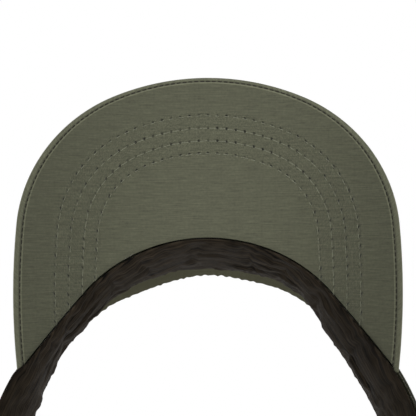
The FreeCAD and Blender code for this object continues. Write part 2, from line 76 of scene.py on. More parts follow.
# %% [markdown]
# ## Driving sizes
# The same few sizes that the pattern maker sets: the band's plan is an egg of tangent arcs, its
# wall leans inwards, and the bill is a flat outline of tangent arcs bent over a round form.

# %% Band and bill sizes
RING_LENGTH = 208 * MM
NOSE_RADIUS = 71 * MM
FLANK_RADIUS = 400 * MM
REAR_RADIUS = 95 * MM
LEAN = math.radians(10.5)
ROOT_HEIGHT = 15 * MM
FRONT_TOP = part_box("front_panel")[1][2]
REAR_TOP = 27 * MM
SIDE_FALL = math.radians(4.5)
SWEAT_FRONT_TOP = 47 * MM
SWEAT_REAR_TOP = 24.5 * MM
SWEAT_SIDE_FALL = math.radians(3)
FRONT_FALL = math.radians(50)
TOP_SWEEP = 25 * MM
PANEL = 0.5 * MM
INTERFACING = 0.6 * MM
FACING = 0.4 * MM
SWEATBAND = 2.4 * MM
REAR_GAP = 60 * MM
ARCH_RADIUS = 130 * MM
SLOPE = math.radians(12)
BILL_STACK = 2.7 * MM
BILL_CLOTH = 0.45 * MM
BILL_LENGTH = 70.5 * MM
FRONT_RADIUS = 102 * MM
SHOULDER_RADIUS = 67 * MM
SIDE_RADIUS = 346 * MM
HALF_WIDTH = 82.3 * MM
WIDEST_BACK = 23 * MM
ROW_FIRST = 16.3 * MM
ROW_PITCH = 5.6 * MM
ROWS = 4
ROW_STITCH = 4.1 * MM
LINING = PANEL + INTERFACING + FACING

# %% [markdown]
# ## The band as a formula
# A point of the wall is named by how far along the ring it is (`along`, zero at the front, plus
# towards +X), how high it is and how deep it lies under the outer face. Because the arcs share
# their normals where they meet, moving inwards only makes each radius smaller.

# %% Band wall
nose_y = NOSE_RADIUS - RING_LENGTH / 2
rear_y = RING_LENGTH / 2 - REAR_RADIUS
span = rear_y - nose_y
to_nose = FLANK_RADIUS - NOSE_RADIUS
to_rear = FLANK_RADIUS - REAR_RADIUS
run = (to_nose**2 - to_rear**2 + span**2) / (2 * span)
flank_x = -math.sqrt(to_nose**2 - run**2)
flank_y = nose_y + run
turn_nose = math.atan2(nose_y - flank_y, -flank_x)
turn_rear = math.atan2(rear_y - flank_y, -flank_x)
NOSE_END = NOSE_RADIUS * (turn_nose + math.pi / 2)
FLANK_END = NOSE_END + FLANK_RADIUS * (turn_rear - turn_nose)
RING_HALF = FLANK_END + REAR_RADIUS * (math.pi / 2 - turn_rear)


def wall(along, height, depth):
    """Points of the leaning wall, and the wall's outward normal there."""
    along, height, depth = np.broadcast_arrays(along, height, depth)
    side = np.sign(along) + (along == 0)
    reach = np.abs(along)
    inset = depth + height * math.tan(LEAN)
    on_nose = reach < NOSE_END
    on_flank = (reach >= NOSE_END) & (reach < FLANK_END)
    turn = np.where(on_nose, reach / NOSE_RADIUS - math.pi / 2,
                    np.where(on_flank, turn_nose + (reach - NOSE_END) / FLANK_RADIUS,
                             turn_rear + (reach - FLANK_END) / REAR_RADIUS))
    radius = np.where(on_nose, NOSE_RADIUS, np.where(on_flank, FLANK_RADIUS, REAR_RADIUS)) - inset
    center_x = np.where(on_flank, flank_x, 0.0)
    center_y = np.where(on_nose, nose_y, np.where(on_flank, flank_y, rear_y))
    point = np.stack([side * (center_x + radius * np.cos(turn)),
                      center_y + radius * np.sin(turn), height + 0 * turn], -1)
    normal = np.stack([side * np.cos(turn) * math.cos(LEAN), np.sin(turn) * math.cos(LEAN),
                       math.sin(LEAN) + 0 * turn], -1)
    return point, normal


def top_line(y, front, rear, fall, depth):
    """Height of a sweeping edge seen from the side: steep, round an arc, then gently down."""
    half = RING_LENGTH / 2
    peak = front + (depth + front * math.tan(LEAN)) * math.tan(FRONT_FALL)
    corner = (peak - rear - 2 * half * math.tan(fall)) / (math.tan(FRONT_FALL) - math.tan(fall))
    reach = TOP_SWEEP * math.tan((FRONT_FALL - fall) / 2)
    first = corner - half - reach * math.cos(FRONT_FALL)
    last = corner - half + reach * math.cos(fall)
    steep = peak - (y + half) * math.tan(FRONT_FALL)
    gentle = rear + (half - y) * math.tan(fall)
    middle = last + TOP_SWEEP * math.sin(fall)
    above = rear + (half - last) * math.tan(fall) + TOP_SWEEP * math.cos(fall)
    curve = above - np.sqrt(np.clip(TOP_SWEEP**2 - (y - middle) ** 2, 0, None))
    return np.where(y < first, steep, np.where(y < last, curve, gentle))


def settle_line(along, guess, depth, *sweep):
    """Height of a sweeping edge for each place along the ring. The wall leans, so its y depends
    on the height, and going back and forth a few times settles both."""
    height = np.full(np.shape(along), guess)
    for _ in range(10):
        y = wall(along, height, depth)[0][..., 1]
        height = top_line(y, *sweep, depth)
    return height


def panel_top(along):
    """Height of the panels' top line."""
    return settle_line(along, 40 * MM, 0.0, FRONT_TOP, REAR_TOP, SIDE_FALL)


def sweat_top(along):
    """Height of the sweatband's top line."""
    return settle_line(along, 35 * MM, LINING, SWEAT_FRONT_TOP, SWEAT_REAR_TOP, SWEAT_SIDE_FALL)


def along_at_x(x):
    return RING_HALF - REAR_RADIUS * math.asin(x / REAR_RADIUS)


print(f"ring half {RING_HALF / MM:.1f} mm")

# %% [markdown]
# ## The bill as a formula
# The bill has its own tilted frame: across, forward from the root's middle, and up out of its top
# face. The outline is three arcs a side, so how far a point is from the edge (`inset`) and how far
# along a parallel row it is (`run`) both have exact answers. Rows of stitching follow them.

# %% Bill surface
front_f = BILL_LENGTH - FRONT_RADIUS
side_x = HALF_WIDTH - SIDE_RADIUS
side_f = -WIDEST_BACK
gap = math.hypot(side_x, side_f - front_f)
step = ((FRONT_RADIUS - SHOULDER_RADIUS) ** 2 - (SIDE_RADIUS - SHOULDER_RADIUS) ** 2
        + gap**2) / (2 * gap)
rise = math.sqrt((FRONT_RADIUS - SHOULDER_RADIUS) ** 2 - step**2)
unit_x, unit_f = side_x / gap, (side_f - front_f) / gap
shoulder_x, shoulder_f = max(
    ((step * unit_x - s * rise * unit_f, front_f + step * unit_f + s * rise * unit_x)
     for s in (1, -1)), key=lambda c: c[0] + c[1])
turn_front = math.atan2(shoulder_f - front_f, shoulder_x)
turn_side = math.atan2(shoulder_f - side_f, shoulder_x - side_x)
root_y = -(RING_LENGTH / 2 - LINING - ROOT_HEIGHT * math.tan(LEAN))


def bill_point(x, forward, height):
    """Bill frame to row frame. Height is above the underside, square to the arched sheet."""
    radius = ARCH_RADIUS + height
    up = np.sqrt(radius**2 - x**2) - ARCH_RADIUS
    back = -forward
    return np.stack([x + 0 * up, root_y + back * math.cos(SLOPE) - up * math.sin(SLOPE),
                     ROOT_HEIGHT + back * math.sin(SLOPE) + up * math.cos(SLOPE)], -1)


def bill_normal(x):
    tilt = x / ARCH_RADIUS
    up = np.sqrt(1 - tilt**2)
    return np.stack([tilt, -up * math.sin(SLOPE), up * math.cos(SLOPE)], -1)


def outline(run, inset):
    """Plan point at a distance along the outer edge from the front's middle, moved inwards."""
    reach = np.abs(run)
    front_run = FRONT_RADIUS * (math.pi / 2 - turn_front)
    shoulder_run = front_run + SHOULDER_RADIUS * (turn_front - turn_side)
    on_front = reach < front_run
    on_shoulder = (reach >= front_run) & (reach < shoulder_run)
    turn = np.where(on_front, math.pi / 2 - reach / FRONT_RADIUS,
                    np.where(on_shoulder, turn_front - (reach - front_run) / SHOULDER_RADIUS,
                             turn_side - (reach - shoulder_run) / SIDE_RADIUS))
    radius = np.where(on_front, FRONT_RADIUS, np.where(on_shoulder, SHOULDER_RADIUS, SIDE_RADIUS))
    cx = np.where(on_front, 0.0, np.where(on_shoulder, shoulder_x, side_x))
    cf = np.where(on_front, front_f, np.where(on_shoulder, shoulder_f, side_f))
    x = cx + (radius - inset) * np.cos(turn)
    return np.sign(run) * x + (run == 0) * x, cf + (radius - inset) * np.sin(turn)


def row_place(x, forward):
    """How far a plan point is from the bill's edge, and how far along its own parallel row."""
    px = np.abs(x)
    from_front = np.arctan2(forward - front_f, px)
    from_shoulder = np.arctan2(forward - shoulder_f, px - shoulder_x)
    from_side = np.arctan2(forward - side_f, px - side_x)
    on_shoulder = (from_shoulder <= turn_front) & (from_shoulder >= turn_side) & (px > shoulder_x)
    on_front = ~on_shoulder & (from_front >= turn_front)
    d_front = FRONT_RADIUS - np.hypot(px, forward - front_f)
    d_shoulder = SHOULDER_RADIUS - np.hypot(px - shoulder_x, forward - shoulder_f)
    d_side = SIDE_RADIUS - np.hypot(px - side_x, forward - side_f)
    inset = np.where(on_front, d_front, np.where(on_shoulder, d_shoulder, d_side))
    run = np.where(
        on_front, (FRONT_RADIUS - inset) * (math.pi / 2 - from_front),
        (FRONT_RADIUS - inset) * (math.pi / 2 - turn_front)
        + np.where(on_shoulder, (SHOULDER_RADIUS - inset) * (turn_front - from_shoulder),
                   (SHOULDER_RADIUS - inset) * (turn_front - turn_side)
                   + (SIDE_RADIUS - inset) * (turn_side - from_side)))
    return inset, np.sign(x) * run


def to_bill(point):
    """Row frame to the bill's plan and the height above its arched underside."""
    y = point[..., 1] - root_y
    z = point[..., 2] - ROOT_HEIGHT
    back = y * math.cos(SLOPE) + z * math.sin(SLOPE)
    up = z * math.cos(SLOPE) - y * math.sin(SLOPE)
    x = point[..., 0]
    return x, -back, np.hypot(x, up + ARCH_RADIUS) - ARCH_RADIUS


def on_bill(along, depth, height):
    """Height at which the wall crosses a level of the bill, for each place along the ring."""
    low = np.full(np.shape(along), -25 * MM)
    high = np.full(np.shape(along), 30 * MM)
    for _ in range(30):
        middle = (low + high) / 2
        above = to_bill(wall(along, middle, depth)[0])[2] > height
        high = np.where(above, middle, high)
        low = np.where(above, low, middle)
    return (low + high) / 2


def root_line(depth, height, inset, count):
    """Right half of the line where the bill meets the wall, from the middle to where an inset
    row ends, as plan points."""
    along = np.linspace(0, 125 * MM, 1200)
    x, forward, _ = to_bill(wall(along, on_bill(along, depth, height), depth)[0])
    end = np.argmax(row_place(x, forward)[0] < inset)
    x, forward = x[:end + 1], forward[:end + 1]
    length = np.concatenate([[0], np.cumsum(np.hypot(np.diff(x), np.diff(forward)))])
    even = np.linspace(0, length[-1], count)
    return np.interp(even, length, x), np.interp(even, length, forward)


corner_x, corner_f = (v[-1] for v in root_line(LINING, 0.0, 0.0, 50))
CORNER_RUN = float(row_place(corner_x, corner_f)[1])
corner_alongs = np.linspace(60 * MM, 130 * MM, 700)
CORNER_ALONG = corner_alongs[np.argmax(on_bill(corner_alongs, LINING, 0.0) < 0)]
print(f"bill corner x {corner_x / MM:.1f} mm, edge run {CORNER_RUN / MM:.1f} mm, "
      f"along the ring {CORNER_ALONG / MM:.1f} mm")

# %% [markdown]
# ## Cloth as two grids
# A sewn layer is a sheet with a face, a back and a rim. One helper turns two grids of points into
# a closed mesh, with a UV map in metres of flat cloth, so that the weave keeps its scale on every
# piece. Folds and puckers are added to the grids first, with a smooth repeatable noise.

# %% Sheet helper and noise


def waves(u, v, seed):
    """Smooth noise about -1 to 1 of two arrays, made of a few cosines at fixed random angles."""
    count = 14
    pick = np.random.default_rng(seed)
    total = 0.0
    for _ in range(count):
        angle, phase = pick.uniform(0, 2 * math.pi, 2)
        pace = 2 * math.pi * pick.uniform(0.5, 1.3)
        total = total + np.cos(pace * (u * math.cos(angle) + v * math.sin(angle)) + phase)
    return total / math.sqrt(count)


def bump(value, center, width):
    return np.exp(-(((value - center) / width) ** 2))


def smooth_step(value, low, high):
    part = np.clip((value - low) / (high - low), 0, 1)
    return part * part * (3 - 2 * part)


def edged(start, end, first, second, count):
    """Even places from start to end, with a close one near either end for the rounded rim."""
    even = np.linspace(start + second, end - second, count)
    return np.concatenate([[start, start + first], even, [end - first, end]])


def round_edge(share):
    """Quarter circle from 0 at the rim to 1 a full share away from it."""
    return np.sqrt(1 - (1 - np.clip(share, 0, 1)) ** 2)


def sheet(name, face, back, uv_maps):
    """Closed mesh between two grids of points, with named UV maps given as grids of pairs."""
    rows, columns = face.shape[:2]
    count = rows * columns
    index = np.arange(count).reshape(rows, columns)
    a, b = index[:-1, :-1].ravel(), index[1:, :-1].ravel()
    c, d = index[1:, 1:].ravel(), index[:-1, 1:].ravel()
    quads = [np.stack([a, b, c, d], -1), np.stack([d, c, b, a], -1) + count]
    rim = np.concatenate([index[0, :], index[1:, -1], index[-1, -2::-1], index[-2::-1, 0]])
    start, end = rim[:-1], rim[1:]
    quads.append(np.stack([end, start, start + count, end + count], -1))
    faces = np.concatenate(quads)
    points = np.concatenate([face.reshape(-1, 3), back.reshape(-1, 3)])
    mesh = bpy.data.meshes.new(name)
    mesh.from_pydata(points.tolist(), [], faces.tolist())
    for label, grid in uv_maps.items():
        flat = np.concatenate([grid.reshape(-1, 2)] * 2)
        layer = mesh.uv_layers.new(name=label)
        layer.data.foreach_set("uv", flat[faces.ravel()].ravel())
    return finish_mesh(name, mesh)


SHARP_ANGLE = math.radians(50)


def finish_mesh(name, mesh):
    """Merges doubles, turns the faces outwards, smooths them and makes the object."""
    work = bmesh.new()
    work.from_mesh(mesh)
    bmesh.ops.remove_doubles(work, verts=work.verts, dist=0.002 * MM)
    bmesh.ops.recalc_face_normals(work, faces=work.faces)
    work.to_mesh(mesh)
    work.free()
    mesh.shade_smooth()
    mesh.set_sharp_from_angle(angle=SHARP_ANGLE)
    piece = bpy.data.objects.new(name, mesh)
    bpy.context.scene.collection.objects.link(piece)
    print(f"{name}: {len(mesh.polygons)} faces")
    return piece


def dress(piece, material, body, slot, *nodes):
    """Gives a piece its material and body, and hides the CAD nodes that it stands for."""
    piece.data.materials.clear()
    piece.data.materials.append(material)
    if body:
        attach(piece, body)
    if nodes:
        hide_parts(*nodes)
    return piece


# %% [markdown]
# ## Materials
# Every finish is cloth or thread, so two shader groups do the work. *Woven cloth* draws threads,
# the raised ripstop grid and soft mottling from a UV map in metres. *Row marks* draws the needle
# holes and the drawn-in cloth beside each stitch row, from a second map that holds the place along
# a row and the distance from the edge. The Principled shader stays outside the groups.

# %% Node helpers


def place_node(tree, kind, inputs=None, **settings):
    node = tree.nodes.new(kind)
    for key, value in settings.items():
        setattr(node, key, value)
    for key, value in (inputs or {}).items():
        if isinstance(value, bpy.types.NodeSocket):
            tree.links.new(value, node.inputs[key])
        else:
            node.inputs[key].default_value = value
    return node


def figure(tree, operation, first, second=0.0, third=0.0):
    inputs = {0: first, 1: second, 2: third}
    return place_node(tree, "ShaderNodeMath", inputs, operation=operation).outputs[0]


def fade(tree, value, low, high, start=1.0, end=0.0):
    inputs = {"Value": value, "From Min": low, "From Max": high, "To Min": start, "To Max": end}
    return place_node(tree, "ShaderNodeMapRange", inputs,
                      interpolation_type="SMOOTHSTEP").outputs[0]


def blend_color(tree, factor, first, second):
    inputs = {"Factor": factor, 6: first, 7: second}
    return place_node(tree, "ShaderNodeMix", inputs, data_type="RGBA").outputs[2]


def vector_figure(tree, operation, vector, second):
    key = "Scale" if operation == "SCALE" else 1
    return place_node(tree, "ShaderNodeVectorMath", {0: vector, key: second},
                      operation=operation).outputs[0]


def noise(tree, vector, scale, detail, roughness=0.5):
    inputs = {"Vector": vector, "Scale": scale, "Detail": detail, "Roughness": roughness}
    return place_node(tree, "ShaderNodeTexNoise", inputs).outputs[0]


def new_group(name, inputs, outputs):
    """Empty shader group with typed, named sockets."""
    tree = bpy.data.node_groups.new(name, "ShaderNodeTree")
    for label, kind, value in inputs:
        socket = tree.interface.new_socket(label, in_out="INPUT", socket_type=kind)
        if value is not None:
            socket.default_value = value
    for label, kind in outputs:
        tree.interface.new_socket(label, in_out="OUTPUT", socket_type=kind)
    return tree, tree.nodes.new("NodeGroupInput"), tree.nodes.new("NodeGroupOutput")


FLOAT, COLOR, VECTOR = "NodeSocketFloat", "NodeSocketColor", "NodeSocketVector"

# %% Woven cloth group
weave, given, result = new_group(
    "woven_cloth",
    [("Cloth", VECTOR, None), ("Color", COLOR, (0.1, 0.1, 0.1, 1)), ("Thread", FLOAT, 0.5),
     ("Grid", FLOAT, 6.0), ("Grid Strength", FLOAT, 0.5), ("Twill", FLOAT, 0.0),
     ("Mottle", FLOAT, 0.1)],
    [("Color", COLOR), ("Height", FLOAT), ("Roughness", FLOAT)])
in_mm = vector_figure(weave, "SCALE", given.outputs["Cloth"], 1 / MM)
split = place_node(weave, "ShaderNodeSeparateXYZ", {0: in_mm})
cloth_x, cloth_y = split.outputs[0], split.outputs[1]
sway = noise(weave, in_mm, 0.05, 2.0)
drift = figure(weave, "MULTIPLY", figure(weave, "SUBTRACT", sway, 0.5), 2.0)
grid_half = figure(weave, "MULTIPLY", given.outputs["Grid"], 0.5)
lines = None
for axis, weight in ((cloth_x, 0.5), (cloth_y, 1.0)):
    off = figure(weave, "PINGPONG", figure(weave, "ADD", axis, drift), grid_half)
    line = figure(weave, "MULTIPLY", fade(weave, off, 0.12, 0.5), weight)
    lines = line if lines is None else figure(weave, "MAXIMUM", lines, line)
grid_mask = figure(weave, "MULTIPLY", lines, given.outputs["Grid Strength"])
pace = figure(weave, "DIVIDE", 2 * math.pi, given.outputs["Thread"])
skewed = figure(weave, "ADD", cloth_x, figure(weave, "MULTIPLY", cloth_y, given.outputs["Twill"]))
warp = figure(weave, "SINE", figure(weave, "MULTIPLY", skewed, pace))
weft = figure(weave, "SINE", figure(weave, "MULTIPLY", cloth_y, pace))
threads = figure(weave, "MULTIPLY", warp, weft)
slub = noise(weave, in_mm, 0.9, 4.0)
streak = noise(weave, vector_figure(weave, "MULTIPLY", in_mm, (0.16, 2.6, 1.0)), 0.8, 3.0)
mix = figure(weave, "ADD", figure(weave, "MULTIPLY", slub, 0.35),
             figure(weave, "MULTIPLY", streak, 0.65))
tone = figure(weave, "MULTIPLY_ADD", figure(weave, "SUBTRACT", mix, 0.5),
              figure(weave, "MULTIPLY", given.outputs["Mottle"], 4.0), 1.0)
tone = figure(weave, "MULTIPLY", tone, figure(weave, "MULTIPLY_ADD", threads, 0.05, 0.98))
tone = figure(weave, "MULTIPLY", tone, figure(weave, "MULTIPLY_ADD", grid_mask, -0.12, 1.0))
tint = vector_figure(weave, "SCALE", given.outputs["Color"], tone)
height = figure(weave, "MULTIPLY_ADD", threads, 0.03, figure(weave, "MULTIPLY", grid_mask, 0.10))
height = figure(weave, "ADD", height, figure(weave, "MULTIPLY", mix, 0.10))
weave.links.new(tint, result.inputs["Color"])
weave.links.new(figure(weave, "MULTIPLY", height, MM), result.inputs["Height"])
weave.links.new(fade(weave, mix, 0.3, 0.7, 0.72, 0.9), result.inputs["Roughness"])
print("group", weave.name, len(weave.nodes), "nodes")

# %% Row marks group
marks, given, result = new_group(
    "row_marks",
    [("Rows", VECTOR, None), ("First", FLOAT, ROW_FIRST / MM), ("Spacing", FLOAT, ROW_PITCH / MM),
     ("Stitch", FLOAT, ROW_STITCH / MM)],
    [("Hole", FLOAT), ("Between", FLOAT)])
in_mm = vector_figure(marks, "SCALE", given.outputs["Rows"], 1 / MM)
split = place_node(marks, "ShaderNodeSeparateXYZ", {0: in_mm})
local = figure(marks, "SUBTRACT", split.outputs[1], given.outputs["First"])
last = figure(marks, "MULTIPLY", given.outputs["Spacing"], ROWS - 1.0)
across = figure(marks, "PINGPONG", local, figure(marks, "MULTIPLY", given.outputs["Spacing"], 0.5))
inside = figure(marks, "MULTIPLY", fade(marks, local, -1.6, -1.2, 0.0, 1.0),
                fade(marks, figure(marks, "SUBTRACT", local, last), 1.2, 1.6))
between = figure(marks, "MULTIPLY", fade(marks, local, -3.0, -0.5, 0.0, 1.0),
                 fade(marks, figure(marks, "SUBTRACT", local, last), 0.5, 3.0))
lengthwise = figure(marks, "PINGPONG", split.outputs[0],
                    figure(marks, "MULTIPLY", given.outputs["Stitch"], 0.5))
away = figure(marks, "SQRT", figure(marks, "ADD", figure(marks, "MULTIPLY", across, across),
                                    figure(marks, "MULTIPLY", lengthwise, lengthwise)))
shown = fade(marks, noise(marks, in_mm, 0.2, 1.0), 0.38, 0.6, 0.45, 1.0)
marks.links.new(figure(marks, "MULTIPLY", figure(marks, "MULTIPLY", fade(marks, away, 0.36, 0.74),
                                                 inside), shown), result.inputs["Hole"])
marks.links.new(between, result.inputs["Between"])
print("group", marks.name, len(marks.nodes), "nodes")

# %% Cloth, thread and plain materials


def cloth_material(name, color, thread=0.5, grid_strength=0.5, twill=0.0, mottle=0.1,
                   sheen=0.12, rows=False, specular=0.25, stretch=1.0):
    """Matte cloth. With rows, needle holes and puckers are drawn from the UV map called rows, and a
    painted highlight along the bill's edge seam from the map called rim. Stretch draws the pattern
    out along the cloth."""
    material = bpy.data.materials.new(name)
    material.use_nodes = True
    tree = material.node_tree
    shader = tree.nodes["Principled BSDF"]
    flat = place_node(tree, "ShaderNodeUVMap", uv_map="cloth").outputs[0]
    woven = place_node(tree, "ShaderNodeGroup", node_tree=weave)
    drawn = vector_figure(tree, "MULTIPLY", flat, (1 / stretch, 1.0, 1.0))
    tree.links.new(drawn, woven.inputs["Cloth"])
    woven.inputs["Color"].default_value = (*color, 1)
    for key, value in (("Thread", thread), ("Grid Strength", grid_strength), ("Twill", twill),
                       ("Mottle", mottle)):
        woven.inputs[key].default_value = value
    tint, height = woven.outputs["Color"], woven.outputs["Height"]
    if rows:
        row_map = place_node(tree, "ShaderNodeUVMap", uv_map="rows").outputs[0]
        sewn = place_node(tree, "ShaderNodeGroup", node_tree=marks)
        tree.links.new(row_map, sewn.inputs["Rows"])
        rough = figure(tree, "SUBTRACT", noise(tree, row_map, 1500.0, 2.0, 0.6), 0.5)
        grain = figure(tree, "MULTIPLY_ADD", figure(tree, "MULTIPLY_ADD", rough, 1.5, 0.09),
                       sewn.outputs["Between"], 1.0)
        tint = vector_figure(tree, "SCALE", tint, grain)
        # Painted highlight: the rolled strip outside the edge seam is drawn 1.5 times lighter. A
        # thin line just inside the seam, where the under cloth's fold stands up, is drawn 1.75
        # times lighter. Both stand for the light that these outward faces catch.
        rim_map = place_node(tree, "ShaderNodeUVMap", uv_map="rim").outputs[0]
        from_seam = place_node(tree, "ShaderNodeSeparateXYZ", {0: rim_map}).outputs[0]
        off_line = figure(tree, "ABSOLUTE", figure(tree, "SUBTRACT", from_seam, 0.62 * MM))
        painted_edge_light = fade(tree, off_line, 0.1 * MM, 0.42 * MM, 1.75, 1.0)
        painted_edge_light = figure(tree, "MULTIPLY", painted_edge_light,
                        fade(tree, from_seam, -0.9 * MM, -0.3 * MM, 1.5, 1.0))
        tint = vector_figure(tree, "SCALE", tint, painted_edge_light)
        tint = blend_color(tree, figure(tree, "MULTIPLY", sewn.outputs["Hole"], 0.9), tint,
                           (0.010, 0.010, 0.007, 1))
        folds = figure(tree, "MULTIPLY", figure(tree, "MULTIPLY", rough, 0.6 * MM),
                       sewn.outputs["Between"])
        height = figure(tree, "ADD", height, folds)
        height = figure(tree, "MULTIPLY_ADD", sewn.outputs["Hole"], -0.4 * MM, height)
    relief = place_node(tree, "ShaderNodeBump", {"Height": height, "Strength": 1.0,
                                                 "Distance": 1.0})
    tree.links.new(tint, shader.inputs["Base Color"])
    tree.links.new(woven.outputs["Roughness"], shader.inputs["Roughness"])
    tree.links.new(relief.outputs[0], shader.inputs["Normal"])
    shader.inputs["Specular IOR Level"].default_value = specular
    shader.inputs["Sheen Weight"].default_value = sheen
    shader.inputs["Sheen Roughness"].default_value = 0.5
    return material


def solid_material(name, color, scale, contrast, roughness):
    """Thread, foam, board or pile: one colour with fine grain on Object coordinates."""
    material = bpy.data.materials.new(name)
    material.use_nodes = True
    tree = material.node_tree
    shader = tree.nodes["Principled BSDF"]
    place = place_node(tree, "ShaderNodeTexCoord").outputs["Object"]
    grain = noise(tree, place, scale, 3.0)
    light = tuple(min(1, c * (1 + contrast)) for c in color) + (1,)
    dark = tuple(c * (1 - contrast) for c in color) + (1,)
    tint = blend_color(tree, fade(tree, grain, 0.3, 0.7, 0.0, 1.0), dark, light)
    relief = place_node(tree, "ShaderNodeBump", {"Height": grain, "Strength": 0.6,
                                                 "Distance": 0.1 * MM})
    tree.links.new(tint, shader.inputs["Base Color"])
    tree.links.new(relief.outputs[0], shader.inputs["Normal"])
    shader.inputs["Roughness"].default_value = roughness
    shader.inputs["Specular IOR Level"].default_value = 0.3
    return material


OLIVE = (0.117, 0.120, 0.079)
ripstop = cloth_material("ripstop", OLIVE, mottle=0.16)
ripstop_rows = cloth_material("ripstop_rows", OLIVE, mottle=0.42, rows=True)
# Painted shade: the band's facing is the same olive ripstop as the panels. It is given a darker,
# more saturated colour for the shade inside the band.
shaded_ripstop_facing = cloth_material("shaded_ripstop_facing", (0.071, 0.069, 0.036), mottle=0.2, sheen=0.0,
                                specular=0.08)
twill_dark = cloth_material("sweatband_twill", (0.0228, 0.0175, 0.0118), thread=0.9,
                            grid_strength=0.0, twill=1.0, mottle=2.2, sheen=0.0, specular=0.06,
                            stretch=8.0)
buckram = cloth_material("buckram", (0.72, 0.70, 0.64), thread=1.2, grid_strength=0.0)
foam = solid_material("core_foam", (0.06, 0.06, 0.06), 900.0, 0.3, 0.95)
board = solid_material("board", (0.75, 0.75, 0.72), 300.0, 0.05, 0.6)
row_thread = solid_material("row_thread", (0.235, 0.242, 0.172), 2600.0, 0.3, 0.55)
olive_thread = solid_material("olive_thread", (0.165, 0.170, 0.118), 2600.0, 0.25, 0.62)
seam_thread = solid_material("seam_thread", (0.016, 0.014, 0.009), 2600.0, 0.25, 0.7)
dark_thread = solid_material("dark_thread", (0.030, 0.027, 0.023), 2600.0, 0.3, 0.6)
hook_plastic = solid_material("hook_plastic", (0.075, 0.080, 0.050), 1500.0, 0.2, 0.45)
loop_fibre = solid_material("loop_fibre", (0.095, 0.100, 0.066), 1500.0, 0.35, 0.9)
label_cloth = cloth_material("label_cloth", (0.66, 0.66, 0.63), thread=0.35, grid_strength=0.0,
                             mottle=0.05)

# %% [markdown]
# ## Camera, light and floor
# The cap is looked at from below, square to the bill's slope, from arm's length with a long lens.
# The floor shows only from above: its shader is clear from behind, and it casts no shadow on what
# is above it, so it can lie between the camera and the cap.

# %% Camera
AIM_AHEAD = 13.07 * MM
VIEW_DISTANCE = 650 * MM
LENS = 126.95625
forward_axis = Vector((0, -math.sin(SLOPE), math.cos(SLOPE)))
up_axis = Vector((0, -math.cos(SLOPE), -math.sin(SLOPE)))
aim = Vector(bill_point(np.array(0.0), np.array(AIM_AHEAD), 0.0).tolist())
camera_data = bpy.data.cameras.new("camera")
camera_data.sensor_width = 36
camera_data.lens = LENS
camera_data.clip_start = 0.01
camera = bpy.data.objects.new("camera", camera_data)
turn = Matrix((Vector((1, 0, 0)), up_axis, -forward_axis)).transposed().to_4x4()
camera.matrix_world = Matrix.Translation(aim - forward_axis * VIEW_DISTANCE) @ turn
bpy.context.scene.collection.objects.link(camera)
bpy.context.scene.camera = camera
print(f"lens {LENS:.1f} mm, {VIEW_DISTANCE:.2f} m from the bill")

# %% Lights, world and floor
scene = bpy.context.scene
scene.view_settings.view_transform = "Standard"
CAP_MIDDLE = Vector((0, -0.1, 0))
SPOT_CONE = math.radians(22)
SPOT_STRETCH = (0.86, 1.2, 1.0)
LIGHTS = (
    ("under_rear", "AREA", (0.0, 0.35, -0.55), 0.4, 1.1),
    ("rim_left", "AREA", (0.75, -0.15, 0.02), 0.3, 2.6),
    ("rim_right", "AREA", (-0.75, -0.15, 0.02), 0.3, 2.0),
    ("under_key", "SPOT", (0.02, -0.24, -0.6), 0.05, 8.05),
    ("over_key", "AREA", (0.6, -0.7, 1.1), 0.9, 11.0),
    ("over_fill", "AREA", (-0.8, -0.3, 0.9), 1.2, 6.0),
    ("over_back", "AREA", (0.1, 0.9, 0.9), 0.9, 6.0),
)
for name, kind, place, size, power in LIGHTS:
    data = bpy.data.lights.new(name, kind)
    data.energy = power
    light = bpy.data.objects.new(name, data)
    light.location = place
    light.visible_camera = False
    target = CAP_MIDDLE
    if kind == "AREA":
        data.shape = "DISK"
        data.size = size
    else:
        target = aim
        data.spot_size = SPOT_CONE
        data.spot_blend = 1.0
        data.shadow_soft_size = size
        light.scale = SPOT_STRETCH
    light.rotation_euler = (target - Vector(place)).to_track_quat("-Z", "Y").to_euler()
    scene.collection.objects.link(light)
print(len(LIGHTS), "lights")

SKY_LIGHT, SKY_SEEN = 0.24, 1.0
world = bpy.data.worlds.new("studio")
scene.world = world
world.use_nodes = True
tree = world.node_tree
tree.nodes.clear()
path = tree.nodes.new("ShaderNodeLightPath")
seen = figure(tree, "MAXIMUM", path.outputs["Is Camera Ray"],
              figure(tree, "MAXIMUM", path.outputs["Is Glossy Ray"],
                     path.outputs["Is Transmission Ray"]))
strength = fade(tree, seen, 0.0, 1.0, SKY_LIGHT, SKY_SEEN)
sky = place_node(tree, "ShaderNodeBackground", {"Color": (1, 1, 1, 1), "Strength": strength})
ground = tree.nodes.new("ShaderNodeOutputWorld")
tree.links.new(sky.outputs[0], ground.inputs["Surface"])

FLOOR_REACH = 3
floor_mesh = bpy.data.meshes.new("floor")
floor_z = cad_box[0][2]
floor_corners = [(FLOOR_REACH * x, FLOOR_REACH * y, floor_z)
                 for x, y in ((-1, -1), (1, -1), (1, 1), (-1, 1))]
floor_mesh.from_pydata(floor_corners, [], [(0, 1, 2, 3)])
floor = bpy.data.objects.new("floor", floor_mesh)
scene.collection.objects.link(floor)
floor_material = bpy.data.materials.new("floor")
floor_material.use_nodes = True
tree = floor_material.node_tree
shader = tree.nodes["Principled BSDF"]
shader.inputs["Base Color"].default_value = (0.82, 0.82, 0.81, 1)
shader.inputs["Roughness"].default_value = 0.9
clear = tree.nodes.new("ShaderNodeBsdfTransparent")
sides = place_node(tree, "ShaderNodeNewGeometry").outputs["Backfacing"]
either = tree.nodes.new("ShaderNodeMixShader")
tree.links.new(sides, either.inputs[0])
tree.links.new(shader.outputs[0], either.inputs[1])
tree.links.new(clear.outputs[0], either.inputs[2])
tree.links.new(either.outputs[0], tree.nodes["Material Output"].inputs["Surface"])
floor_mesh.materials.append(floor_material)
